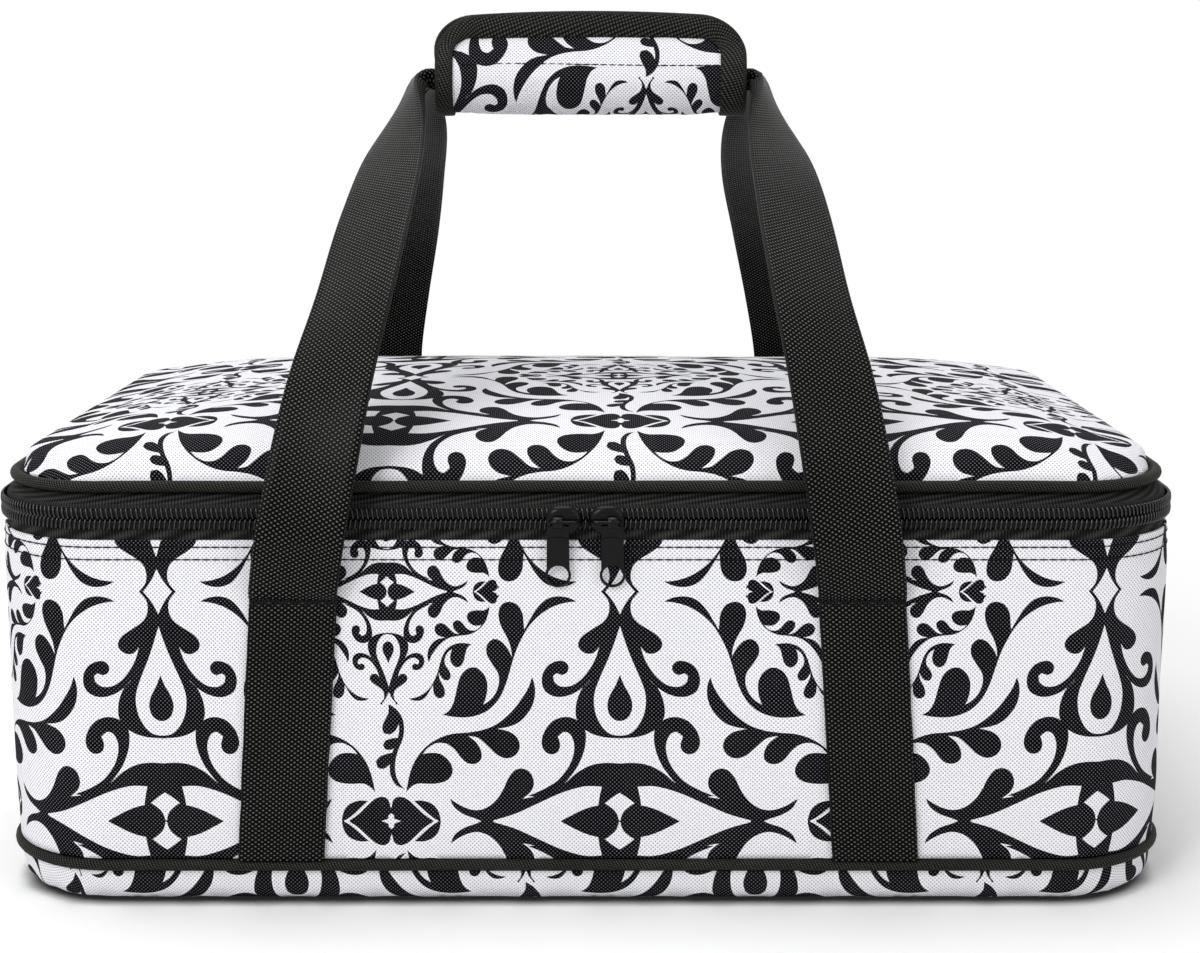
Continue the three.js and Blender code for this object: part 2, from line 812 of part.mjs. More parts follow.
// The slider in its own frame: x from its nose outwards, y from the wall's outer face (towards
// the front is negative), z from the split between the rows
function sliderGeometry() {
  const rowReach = rowGap / 2 + coilRowHeight;
  const nose = rowReach + clearance + sliderFlange;
  const frontPlace = -(coilProud + clearance + plateThickness);
  const backPlace = -(tapeInner - clearance);
  const bridgePlace = frontPlace - bridgeReach;
  let body = frontPlate(slipperShape(nose, nose), frontPlace, plateThickness);
  body = body.add(frontPlate(slipperShape(nose, rowReach), backPlace, plateThickness));
  body = body.add(
    block(
      postInset,
      postInset + postLength,
      frontPlace + plateThickness / 2,
      backPlace + plateThickness / 2,
      -postHeight / 2,
      postHeight / 2,
    ),
  );
  body = body.add(
    block(
      nose,
      sliderLength,
      frontPlace,
      frontPlace + flangeDepth,
      -nose,
      -nose + sliderFlange,
    ),
  );
  const bridge = block(
    bridgeInset,
    sliderLength - clearance,
    bridgePlace - bridgeBar / 2,
    frontPlace + plateThickness / 2,
    -bridgeDepth / 2,
    bridgeDepth / 2,
  );
  const window = block(
    bridgeInset + bridgeBar,
    sliderLength - clearance - bridgeBar,
    bridgePlace + bridgeBar / 2,
    frontPlace,
    -bridgeDepth,
    bridgeDepth,
  );
  return geometryOf(body.add(bridge.subtract(window)));
}

// The pull in its own frame: the hinge axis along x, hanging down
function pullGeometry() {
  const top = -pullStart;
  const end = pullEndWidth / 2;
  const low = -(pullLength - end);
  const shape = new THREE.Shape();
  shape.moveTo(-pullTopWidth / 2, top);
  shape.lineTo(-end, low);
  shape.absarc(0, low, end, Math.PI, Math.PI * 2, false);
  shape.lineTo(pullTopWidth / 2, top);
  shape.closePath();
  const hole = new THREE.Path();
  const inner = end - ringWall;
  hole.moveTo(inner, low);
  hole.absarc(0, low, inner, 0, Math.PI, true);
  hole.lineTo(-inner, low + ringReach - inner - ringCrown);
  hole.quadraticCurveTo(0, low + ringReach - inner + ringCrown, inner, low + ringReach - inner - ringCrown);
  hole.closePath();
  shape.holes.push(hole);
  const plate = frontPlate(shape, pullSetBack - pullThickness / 2, pullThickness);
  const tube = (radius, length) => {
    const cylinder = new THREE.CylinderGeometry(radius, radius, length, curveSegments);
    cylinder.rotateZ(Math.PI / 2);
    return booleanSolid(cylinder);
  };
  const knuckle = tube(knuckleRadius, knuckleLength);
  const bore = tube(knuckleBore, knuckleLength * 2);
  const body = plate.add(knuckle).subtract(bore);
  return geometryOf(body);
}

// A slider with its pull, on the left (-1) or on the right (1) of the middle
function sliderSet(side) {
  const name = side < 0 ? 'left' : 'right';
  const group = new THREE.Group();
  const slider = part(`slider_${name}`, sliderGeometry(), 'metal');
  const pull = part(`pull_${name}`, pullGeometry(), 'metal');
  const hinge = coilProud + clearance + plateThickness + bridgeReach;
  const knuckleEnd = sliderLength - clearance - bridgeBar - clearance;
  pull.position.set(side * (knuckleEnd - knuckleLength / 2), -hinge, 0);
  pull.rotation.x = radians(pullTilt);
  if (side < 0) {
    slider.rotation.y = Math.PI;
  }
  group.add(slider, pull);
  group.position.set(side * sliderGap, -halfDepth, zipSplitHeight);
  return group;
}

const carrier = new THREE.Group();
carrier.add(tub(), lid());
carrier.add(part('front_handle_webbing', handleWebbing(-1), 'webbing'));
carrier.add(part('back_handle_webbing', handleWebbing(1), 'webbing'));
carrier.add(...gripHalf(-1, 'grip_hook_strip'), ...gripHalf(1, 'grip_loop_strip'));
carrier.add(sliderSet(-1), sliderSet(1));

export default carrier;
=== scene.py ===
# Casserole carrier: printed padded box, zipped lid, webbing handles and a wrap grip. Blender 4.5.
import math
import bmesh
import bpy
from bisect import bisect_right as bisectRight
from mathutils import Matrix, Vector, geometry, noise
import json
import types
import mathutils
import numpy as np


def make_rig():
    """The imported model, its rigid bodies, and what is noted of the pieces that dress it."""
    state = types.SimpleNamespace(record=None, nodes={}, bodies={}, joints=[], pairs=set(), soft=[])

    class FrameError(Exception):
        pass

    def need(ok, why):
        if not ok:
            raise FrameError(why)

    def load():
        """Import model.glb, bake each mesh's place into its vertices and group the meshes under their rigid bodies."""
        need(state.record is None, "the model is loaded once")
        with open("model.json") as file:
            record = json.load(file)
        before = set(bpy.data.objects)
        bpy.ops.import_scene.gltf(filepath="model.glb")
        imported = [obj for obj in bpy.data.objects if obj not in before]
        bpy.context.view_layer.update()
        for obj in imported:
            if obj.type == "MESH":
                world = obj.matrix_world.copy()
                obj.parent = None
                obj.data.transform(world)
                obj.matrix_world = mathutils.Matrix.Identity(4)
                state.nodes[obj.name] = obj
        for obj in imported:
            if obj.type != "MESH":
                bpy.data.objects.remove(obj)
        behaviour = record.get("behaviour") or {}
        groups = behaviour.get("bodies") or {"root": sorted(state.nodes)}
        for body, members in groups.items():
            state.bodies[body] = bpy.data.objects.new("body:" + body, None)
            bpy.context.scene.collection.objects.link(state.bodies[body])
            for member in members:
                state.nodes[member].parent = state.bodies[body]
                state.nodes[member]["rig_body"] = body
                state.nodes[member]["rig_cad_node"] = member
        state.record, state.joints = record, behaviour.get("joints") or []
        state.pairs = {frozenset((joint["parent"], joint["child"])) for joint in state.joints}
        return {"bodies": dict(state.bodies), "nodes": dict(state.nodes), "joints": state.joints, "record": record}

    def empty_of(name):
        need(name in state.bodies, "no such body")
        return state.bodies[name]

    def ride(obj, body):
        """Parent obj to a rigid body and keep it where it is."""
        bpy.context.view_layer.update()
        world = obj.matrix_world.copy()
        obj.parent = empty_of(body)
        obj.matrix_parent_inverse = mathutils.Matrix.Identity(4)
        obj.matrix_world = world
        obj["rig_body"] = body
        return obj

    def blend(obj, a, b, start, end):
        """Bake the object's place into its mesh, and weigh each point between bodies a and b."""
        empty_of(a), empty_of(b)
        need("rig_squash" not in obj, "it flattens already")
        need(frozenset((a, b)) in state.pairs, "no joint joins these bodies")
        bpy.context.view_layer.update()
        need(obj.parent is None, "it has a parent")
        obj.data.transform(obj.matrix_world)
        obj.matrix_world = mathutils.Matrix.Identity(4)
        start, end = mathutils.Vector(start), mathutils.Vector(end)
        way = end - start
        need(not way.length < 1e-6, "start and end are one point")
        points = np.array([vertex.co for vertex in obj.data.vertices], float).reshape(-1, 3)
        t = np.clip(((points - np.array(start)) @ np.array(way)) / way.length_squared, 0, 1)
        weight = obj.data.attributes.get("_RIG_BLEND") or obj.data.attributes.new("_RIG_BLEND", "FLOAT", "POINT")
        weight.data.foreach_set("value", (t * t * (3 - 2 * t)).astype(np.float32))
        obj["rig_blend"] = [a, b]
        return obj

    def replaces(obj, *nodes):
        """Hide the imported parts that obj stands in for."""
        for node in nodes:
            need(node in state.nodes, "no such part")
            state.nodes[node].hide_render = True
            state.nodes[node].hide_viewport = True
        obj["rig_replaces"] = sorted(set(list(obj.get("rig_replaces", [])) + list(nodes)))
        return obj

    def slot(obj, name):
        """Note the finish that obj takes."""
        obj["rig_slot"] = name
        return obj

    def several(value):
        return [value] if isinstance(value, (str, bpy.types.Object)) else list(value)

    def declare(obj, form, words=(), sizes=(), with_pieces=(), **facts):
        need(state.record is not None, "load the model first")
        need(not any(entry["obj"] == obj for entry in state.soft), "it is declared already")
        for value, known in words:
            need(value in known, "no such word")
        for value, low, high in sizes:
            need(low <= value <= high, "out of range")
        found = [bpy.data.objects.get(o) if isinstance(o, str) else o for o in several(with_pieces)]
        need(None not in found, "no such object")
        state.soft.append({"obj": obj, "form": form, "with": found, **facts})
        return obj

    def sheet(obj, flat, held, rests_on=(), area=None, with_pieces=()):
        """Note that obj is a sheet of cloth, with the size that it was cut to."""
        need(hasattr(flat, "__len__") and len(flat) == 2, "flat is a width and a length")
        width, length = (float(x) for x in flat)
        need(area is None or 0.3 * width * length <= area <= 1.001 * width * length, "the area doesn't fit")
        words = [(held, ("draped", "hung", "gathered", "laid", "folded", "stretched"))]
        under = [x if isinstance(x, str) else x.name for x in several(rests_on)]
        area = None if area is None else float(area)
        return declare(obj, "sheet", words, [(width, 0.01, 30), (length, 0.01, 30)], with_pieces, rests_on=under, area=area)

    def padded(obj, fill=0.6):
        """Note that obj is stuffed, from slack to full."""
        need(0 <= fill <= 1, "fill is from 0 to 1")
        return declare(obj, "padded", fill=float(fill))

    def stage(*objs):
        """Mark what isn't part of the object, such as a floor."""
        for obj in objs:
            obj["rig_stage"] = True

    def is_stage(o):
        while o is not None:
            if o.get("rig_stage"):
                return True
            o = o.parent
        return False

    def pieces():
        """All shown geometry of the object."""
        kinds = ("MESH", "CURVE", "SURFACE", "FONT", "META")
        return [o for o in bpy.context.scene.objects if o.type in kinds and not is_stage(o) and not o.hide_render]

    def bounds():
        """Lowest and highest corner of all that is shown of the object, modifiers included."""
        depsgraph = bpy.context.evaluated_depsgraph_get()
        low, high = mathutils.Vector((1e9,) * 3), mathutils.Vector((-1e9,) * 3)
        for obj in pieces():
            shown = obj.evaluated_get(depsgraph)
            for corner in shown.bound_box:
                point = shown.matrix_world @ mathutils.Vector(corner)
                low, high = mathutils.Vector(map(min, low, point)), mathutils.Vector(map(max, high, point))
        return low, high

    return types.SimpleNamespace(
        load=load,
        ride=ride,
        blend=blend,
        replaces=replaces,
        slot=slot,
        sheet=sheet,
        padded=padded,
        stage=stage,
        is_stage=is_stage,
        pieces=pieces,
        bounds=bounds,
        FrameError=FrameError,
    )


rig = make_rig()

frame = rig.load()
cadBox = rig.bounds()
print("frame loaded:", len(frame["nodes"]), "nodes")


def mm(x, y, z):
    return Vector((x / 1000, y / 1000, z / 1000))


def mix(a, b, t):
    return a + (b - a) * t


def smoothStep(a, b, x):
    t = min(1.0, max(0.0, (x - a) / (b - a)))
    return t * t * (3 - 2 * t)


# ---- camera, floor and light
view = {"lens": 65.13, "place": (4.93, -860, 289), "down": 10.83}
cameraData = bpy.data.cameras.new("camera")
cameraData.lens = view["lens"]
cameraData.sensor_width = 36
cameraData.clip_end = 50
camera = bpy.data.objects.new("camera", cameraData)
camera.location = mm(*view["place"])
camera.rotation_euler = (math.radians(90 - view["down"]), 0, 0)
bpy.context.collection.objects.link(camera)
bpy.context.scene.camera = camera
bpy.context.scene.view_settings.view_transform = "Standard"


def linear(hexColour):  # sRGB hex to Blender's linear colour
    h = hexColour.lstrip("#")
    out = []
    for i in (0, 2, 4):
        c = int(h[i:i + 2], 16) / 255
        out.append(c / 12.92 if c <= 0.04045 else ((c + 0.055) / 1.055) ** 2.4)
    return (*out, 1.0)


def addNode(tree, kind, inputs=None, **settings):
    node = tree.nodes.new(kind)
    for key, value in settings.items():
        setattr(node, key, value)
    for socket, value in (inputs or {}).items():
        if isinstance(value, bpy.types.NodeSocket):
            tree.links.new(value, node.inputs[socket])
        else:
            node.inputs[socket].default_value = value
    return node


def newMaterial(name):
    material = bpy.data.materials.new(name)
    material.use_nodes = True
    tree = material.node_tree
    return material, tree, tree.nodes["Principled BSDF"]


studio = {
    "world": 0.38,  # plain light from all round
    "floorGlow": 0.02,  # what lifts the paper towards white for the camera
    "lamps": (
        ("keyLamp", (-1100, -1500, 1300), 1.1, 18),
        ("fillLamp", (1300, -1200, 800), 1.3, 4),
        ("topLamp", (-200, 200, 1900), 1.6, 24),
        ("leftGlint", (-650, -1350, 1150), 0.14, 2.4),  # small and bright, for the shine on nylon and enamel
        ("rightGlint", (800, -1100, 1200), 0.14, 1.0),
    ),
}


def makeStudio():
    mesh = bpy.data.meshes.new("floor")
    bm = bmesh.new()
    bmesh.ops.create_grid(bm, x_segments=1, y_segments=1, size=4.0)
    bm.to_mesh(mesh)
    bm.free()
    floor = bpy.data.objects.new("floor", mesh)
    bpy.context.collection.objects.link(floor)
    material, tree, shader = newMaterial("paperSweep")  # matt white paper, lifted to white for the camera alone
    shader.inputs["Roughness"].default_value = 1.0
    shader.inputs["Specular IOR Level"].default_value = 0.0
    path = addNode(tree, "ShaderNodeLightPath")
    paintedContactShadow = addNode(tree, "ShaderNodeAmbientOcclusion", {"Distance": 0.008}, samples=12).outputs["AO"]
    shadowedPaperColour = addNode(tree, "ShaderNodeMapRange", {"Value": paintedContactShadow, "From Min": 0.2, "From Max": 0.7,
                                               "To Max": 0.95}).outputs[0]  # painted contact shadow: ambient occlusion darkens the paper's colour where the bottom meets it
    tree.links.new(shadowedPaperColour, shader.inputs["Base Color"])
    place = addNode(tree, "ShaderNodeTexCoord").outputs["Object"]
    away = addNode(tree, "ShaderNodeVectorMath", {0: place}, operation="LENGTH").outputs["Value"]
    far = addNode(tree, "ShaderNodeMapRange", {"Value": away, "From Min": 0.28, "From Max": 0.62},
                  interpolation_type="SMOOTHSTEP").outputs[0]
    glow = addNode(tree, "ShaderNodeEmission", {"Color": (1, 1, 1, 1), "Strength": studio["floorGlow"]})
    plain = addNode(tree, "ShaderNodeEmission", {"Color": (1, 1, 1, 1), "Strength": 1.0})
    near = addNode(tree, "ShaderNodeAddShader", {0: shader.outputs[0], 1: glow.outputs[0]})
    total = addNode(tree, "ShaderNodeMixShader", {0: far, 1: near.outputs[0], 2: plain.outputs[0]})
    pick = addNode(tree, "ShaderNodeMixShader",
                   {0: path.outputs["Is Camera Ray"], 1: shader.outputs[0], 2: total.outputs[0]})
    tree.links.new(pick.outputs[0], tree.nodes["Material Output"].inputs["Surface"])
    mesh.materials.append(material)
    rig.stage(floor)
    world = bpy.data.worlds.new("studio")
    world.use_nodes = True
    bpy.context.scene.world = world
    nodes = world.node_tree
    path = addNode(nodes, "ShaderNodeLightPath")
    seen = addNode(nodes, "ShaderNodeMath", {0: path.outputs["Is Camera Ray"], 1: path.outputs["Is Glossy Ray"]},
                   operation="MAXIMUM")
    seen = addNode(nodes, "ShaderNodeMath", {0: seen.outputs[0], 1: path.outputs["Is Transmission Ray"]},
                   operation="MAXIMUM")
    strength = addNode(nodes, "ShaderNodeMapRange",
                       {"Value": seen.outputs[0], "To Min": studio["world"], "To Max": 1.0})
    nodes.links.new(strength.outputs[0], nodes.nodes["Background"].inputs["Strength"])
    nodes.nodes["Background"].inputs["Color"].default_value = (1, 1, 1, 1)
    for name, place, size, watts in studio["lamps"]:
        data = bpy.data.lights.new(name, "AREA")
        data.shape = "SQUARE"
        data.size = size
        data.energy = watts
        lamp = bpy.data.objects.new(name, data)
        lamp.location = mm(*place)
        lamp.rotation_mode = "QUATERNION"
        lamp.rotation_quaternion = (mm(0, 0, 100) - mm(*place)).to_track_quat("-Z", "Y")
        bpy.context.collection.objects.link(lamp)


makeStudio()
print("camera and studio ready")


# ---- materials: every cloth reads the UV map called cloth, which is in metres along its threads
def wovenMaterial(name, look):
    # a product of two sines is positive in staggered squares, as thread crossings stand in a weave
    material, tree, shader = newMaterial(name)
    threads = addNode(tree, "ShaderNodeUVMap", uv_map="cloth").outputs[0]
    scaled = addNode(tree, "ShaderNodeMapping", {
        "Vector": threads, "Rotation": (0, 0, math.radians(look.get("turn", 0.0))),
        "Scale": (*(2000 * math.pi / pitch for pitch in look["pitch"]), 1)})
    parts = addNode(tree, "ShaderNodeSeparateXYZ", {0: scaled.outputs[0]})
    warp = addNode(tree, "ShaderNodeMath", {0: parts.outputs[0]}, operation="SINE").outputs[0]
    weft = addNode(tree, "ShaderNodeMath", {0: parts.outputs[1]}, operation="SINE").outputs[0]
    field = addNode(tree, "ShaderNodeMath", {0: warp, 1: weft}, operation="MULTIPLY").outputs[0]
    low, high = look["crowns"]
    crossing = addNode(tree, "ShaderNodeMapRange", {"Value": field, "From Min": low, "From Max": high},
                       interpolation_type="SMOOTHSTEP").outputs[0]
    place = addNode(tree, "ShaderNodeTexCoord").outputs["Object"]
    cloud = addNode(tree, "ShaderNodeTexNoise", {"Vector": place, "Scale": 38.0, "Detail": 3.0}).outputs[0]
    fuzz = addNode(tree, "ShaderNodeTexNoise", {"Vector": place, "Scale": 1500.0, "Detail": 2.0}).outputs[0]
    patchyShading = addNode(tree, "ShaderNodeMapRange", {"Value": cloud, "From Min": 0.3, "From Max": 0.7,
                                               "To Min": 1 - look["patchy"], "To Max": 1.0}).outputs[0]
    # the colour runs from painted shade in the pits between the threads to painted highlight on their crowns, unevenly
    # in patches
    paintedWeaveShading = addNode(tree, "ShaderNodeMath", {0: crossing, 1: patchyShading}, operation="MULTIPLY").outputs[0]
    colour = addNode(tree, "ShaderNodeMix", {0: paintedWeaveShading, 6: linear(look["dark"]), 7: linear(look["light"])},
                     data_type="RGBA").outputs[2]
    tree.links.new(colour, shader.inputs["Base Color"])
    height = addNode(tree, "ShaderNodeMath", {0: fuzz, 1: 0.35, 2: crossing}, operation="MULTIPLY_ADD").outputs[0]
    bump = addNode(tree, "ShaderNodeBump", {"Height": height, "Strength": 1.0, "Distance": look["depth"] / 1000})
    tree.links.new(bump.outputs[0], shader.inputs["Normal"])
    rough = addNode(tree, "ShaderNodeMapRange", {"Value": fuzz, "To Min": look["rough"] - 0.08,
                                                "To Max": look["rough"] + 0.08}).outputs[0]
    tree.links.new(rough, shader.inputs["Roughness"])
    shader.inputs["Specular IOR Level"].default_value = look.get("shine", 0.35)
    return material


# 600 denier polyester canvas, bleached: bright threads with small grey pits between them; the grey in the pits is
#                                        painted shade.
# Real threads stand 1 mm apart here, and are drawn 1.45 mm apart so that they show
clothWhite = wovenMaterial("bleachedPolyesterCanvas", {
    "pitch": (1.45, 1.45), "crowns": (-1.0, 0.0), "dark": "#8E8E99", "light": "#EFEFF3", "depth": 0.09, "rough": 0.86,
    "patchy": 0.03})
# the same canvas under charcoal screen ink: the crowns of the threads are painted paler, as painted highlights on the
# ink
clothInk = wovenMaterial("screenInkOnCanvas", {
    "pitch": (1.45, 1.45), "crowns": (0.2, 1.0), "dark": "#050406", "light": "#74747C", "depth": 0.09, "rough": 0.85,
    "patchy": 0.3, "shine": 0.02})
# black polypropylene webbing: rows of plump crossings whose crowns are painted paler as painted highlights, with
# painted shade between them, and a dull plastic shine
webbingBlack = wovenMaterial("polypropyleneWebbing", {
    "pitch": (1.65, 1.9), "crowns": (0.2, 0.95), "dark": "#000000", "light": "#6C6C68", "depth": 0.2, "rough": 0.36,
    "patchy": 0.25, "shine": 0.05})
# black polyester binding over the piping cord: fine slanting ribs, painted paler on their crowns as painted highlights
bindingBlack = wovenMaterial("polyesterBinding", {
    "pitch": (1.5, 1.2), "turn": 28.0, "crowns": (-0.1, 0.9), "dark": "#020202", "light": "#55544E", "depth": 0.16,
    "rough": 0.6, "patchy": 0.25, "shine": 0.08})
# black zip tape: a close flat twill that reads as one dark band, its twill lines painted paler as painted highlights
tapeBlack = wovenMaterial("zipTape", {
    "pitch": (1.5, 1.3), "turn": 40.0, "crowns": (-0.6, 1.0), "dark": "#0F0F0F", "light": "#413F3E", "depth": 0.06,
    "rough": 0.75, "patchy": 0.2, "shine": 0.05})


def solidMaterial(name, look, texture="ShaderNodeTexNoise", output=0, **settings):
    # one fine texture on the piece drives its colour and its roughness, and its own or a finer one its bumps
    material, tree, shader = newMaterial(name)
    place = addNode(tree, "ShaderNodeTexCoord").outputs["Object"]
    grain = addNode(tree, texture, {"Vector": place, **look["grain"]}, **settings).outputs[output]
    colour = addNode(tree, "ShaderNodeMix", {0: grain, 6: linear(look["dark"]), 7: linear(look["light"])},
                     data_type="RGBA")
    tree.links.new(colour.outputs[2], shader.inputs["Base Color"])
    if isinstance(look["rough"], tuple):
        low, high = look["rough"]
        rough = addNode(tree, "ShaderNodeMapRange", {"Value": grain, "To Min": low, "To Max": high})
        tree.links.new(rough.outputs[0], shader.inputs["Roughness"])
    else:
        shader.inputs["Roughness"].default_value = look["rough"]
    if "depth" in look:
        if "peel" in look:
            fine = {"Vector": place, "Scale": look["peel"], "Detail": 2.0}
            grain = addNode(tree, "ShaderNodeTexNoise", fine).outputs[0]
        bump = addNode(tree, "ShaderNodeBump",
                       {"Height": grain, "Strength": look.get("strength", 1.0), "Distance": look["depth"] / 1000})
        tree.links.new(bump.outputs[0], shader.inputs["Normal"])
    shader.inputs["Specular IOR Level"].default_value = look.get("shine", 0.5)
    return material


# nylon monofilament: smooth and satin, faintly uneven along the wire
nylonCoil = solidMaterial("nylonCoil", {
    "grain": {"Scale": 900.0, "Detail": 2.0}, "dark": "#020202", "light": "#080808", "rough": (0.1, 0.2)})
# black enamel baked on a zinc casting: smooth, with a little orange peel and rubbed edges
blackEnamel = solidMaterial("blackEnamelOnZinc", {
    "grain": {"Scale": 260.0, "Detail": 4.0}, "dark": "#030303", "light": "#0A0A0A", "rough": (0.14, 0.28),
    "peel": 1400.0, "depth": 0.02, "shine": 0.14})
# grey vinyl film on scrim: smooth with shallow creases and a soft shine
greyFilm = solidMaterial("greyVinylFilm", {
    "grain": {"Scale": 26.0, "Detail": 5.0, "Distortion": 1.6}, "dark": "#A6A9AD", "light": "#C4C7CA",
    "rough": (0.3, 0.48), "depth": 2.2})
# white closed-cell polyethylene foam: matt, with small round cells
whiteFoam = solidMaterial("closedCellFoam", {
    "grain": {"Scale": 700.0}, "dark": "#EFECE4", "light": "#D9D5CA", "rough": 0.9, "strength": 0.6, "depth": 0.3},
    "ShaderNodeTexVoronoi", "Distance")
# bonded polyester sewing thread: twisted, with a faint sheen
blackThread = solidMaterial("blackSewingThread", {
    "grain": {"Scale": 900.0, "Distortion": 1.0}, "dark": "#050505", "light": "#151414", "rough": 0.6, "shine": 0.14},
    "ShaderNodeTexWave", bands_direction="DIAGONAL")
print("materials ready")


# ---- making pieces
def onlyVerts(items):
    return [item for item in items if isinstance(item, bmesh.types.BMVert)]


def everything(bm):
    return list(bm.verts) + list(bm.edges) + list(bm.faces)


def finishPiece(name, bm, materials, slotName, bodyName, nodes=()):
    mesh = bpy.data.meshes.new(name)
    bm.to_mesh(mesh)
    bm.free()
    for material in materials:
        mesh.materials.append(material)
    mesh.polygons.foreach_set("use_smooth", [True] * len(mesh.polygons))
    piece = bpy.data.objects.new(name, mesh)
    bpy.context.collection.objects.link(piece)
    if bodyName:
        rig.ride(piece, bodyName)
    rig.slot(piece, slotName)
    if nodes:
        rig.replaces(piece, *nodes)
    return piece


def formedGrid(stepsU, stepsV, place, size, capped=False):
    # a flat grid whose every point goes to place(u, v); its UVs are the cloth's own size in metres
    bm = bmesh.new()
    bmesh.ops.create_grid(bm, x_segments=stepsU, y_segments=stepsV, size=0.5)
    threads = bm.loops.layers.uv.new("cloth")
    for face in bm.faces:
        for loop in face.loops:
            co = loop.vert.co
            loop[threads].uv = ((co.x + 0.5) * size[0] / 1000, (co.y + 0.5) * size[1] / 1000)
    for vert in bm.verts:
        vert.co = place(min(1.0, max(0.0, vert.co.x + 0.5)), min(1.0, max(0.0, vert.co.y + 0.5)))
    bmesh.ops.remove_doubles(bm, verts=bm.verts, dist=2e-6)
    if capped:
        bmesh.ops.holes_fill(bm, edges=[edge for edge in bm.edges if edge.is_boundary])
    bmesh.ops.recalc_face_normals(bm, faces=bm.faces)
    return bm


def ringGrid(rings, size):  # rings of points as one closed skin with both ends filled
    steps, count = len(rings) - 1, len(rings[0])
    return formedGrid(steps, count, lambda u, v: rings[round(u * steps)][round(v * count) % count], size, capped=True)


def hemVerts(bm):  # a fresh row of vertices along every open edge, still on top of it
    rims = [edge for edge in bm.edges if edge.is_boundary]
    return onlyVerts(bmesh.ops.extrude_edge_only(bm, edges=rims)["geom"])


def runningLengths(rows, axes):  # how far along a line of rows each one lies
    lengths = [0.0]
    for a, b in zip(rows, rows[1:]):
        lengths.append(lengths[-1] + math.dist(a[:axes], b[:axes]))
    return lengths


def rowAt(rows, lengths, at):
    i = min(len(rows) - 2, max(0, bisectRight(lengths, at) - 1))
    f = (at - lengths[i]) / max(1e-9, lengths[i + 1] - lengths[i])
    return [mix(a, b, f) for a, b in zip(rows[i], rows[i + 1])]


def curvePoint(before, start, end, after, f):  # between start and end, bent by the neighbour on each side
    return [0.5 * (2 * b + (c - a) * f + (2 * a - 5 * b + 4 * c - d) * f * f + (3 * b - a - 3 * c + d) * f ** 3)
            for a, b, c, d in zip(before, start, end, after)]


def along(points, t):  # a smooth curve through points, t from 0 to 1
    last = len(points) - 1
    at = min(last - 1e-9, max(0.0, t * last))
    i, f = int(at), at % 1
    p1, p2 = points[i], points[i + 1]
    p0 = points[i - 1] if i else [2 * a - b for a, b in zip(p1, p2)]
    p3 = points[i + 2] if i + 2 <= last else [2 * b - a for a, b in zip(p1, p2)]
    return curvePoint(p0, p1, p2, p3, f)


# ---- the box's outline, in mm round the wall from the middle of the front to the right
box = {"halfX": 205.0, "halfY": 145.0, "corner": 40.0, "wallFoot": 17.3, "wallTop": 130.3}
straightX, straightY = box["halfX"] - box["corner"], box["halfY"] - box["corner"]
quarter = box["corner"] * math.pi / 2
perimeter = 4 * (straightX + straightY + quarter)
zipEnd = perimeter / 2 - 150  # the zip stops 150 mm from the middle of the back


def around(s):
    s = (s + perimeter / 2) % perimeter - perimeter / 2
    side, t, r = (1 if s >= 0 else -1), abs(s), box["corner"]
    if t <= straightX:
        return side * t, -box["halfY"], 0.0, -1.0
    t -= straightX
    if t <= quarter:
        c, d = math.cos(t / r), math.sin(t / r)
        return side * (straightX + r * d), -straightY - r * c, side * d, -c
    t -= quarter
    if t <= 2 * straightY:
        return side * box["halfX"], t - straightY, side * 1.0, 0.0
    t -= 2 * straightY
    if t <= quarter:
        c, d = math.cos(t / r), math.sin(t / r)
        return side * (straightX + r * c), straightY + r * d, side * c, d
    return side * (straightX - (t - quarter)), box["halfY"], 0.0, 1.0


def onWall(s, out, z):
    x, y, nx, ny = around(s)
    return mm(x + nx * out, y + ny * out, z)


# where the padding is held flat, in mm: behind the run of the zip pulls, and at the bar tacks
heldFlat = {"pullFoot": (95, 108), "pullRun": (165, 190), "tackFoot": (82, 100), "tackTop": (124, 136),
            "strapAt": 96, "besideStrap": (18, 34)}


def puff(s, z):  # how far the padded wall stands proud of its seams
    s = (s + perimeter / 2) % perimeter - perimeter / 2
    a = 2 * math.pi * s / perimeter
    rise = (z - box["wallFoot"]) / (box["wallTop"] - box["wallFoot"])
    held = smoothStep(0, 0.18, rise) * smoothStep(0, 0.14, 1 - rise)
    held *= 1 - smoothStep(*heldFlat["pullFoot"], z) * (1 - smoothStep(*heldFlat["pullRun"], abs(s)))
    besideStrap = min(abs(abs(s) - heldFlat["strapAt"]), abs(abs(s) - perimeter / 2 + heldFlat["strapAt"]))
    tacks = smoothStep(*heldFlat["tackFoot"], z) * (1 - smoothStep(*heldFlat["tackTop"], z))
    held *= 1 - 0.8 * tacks * (1 - smoothStep(*heldFlat["besideStrap"], besideStrap))
    return held * (0.55 + 0.6 * noise.noise(Vector((2.5 * math.cos(a), z * 0.02, 2.5 * math.sin(a)))))


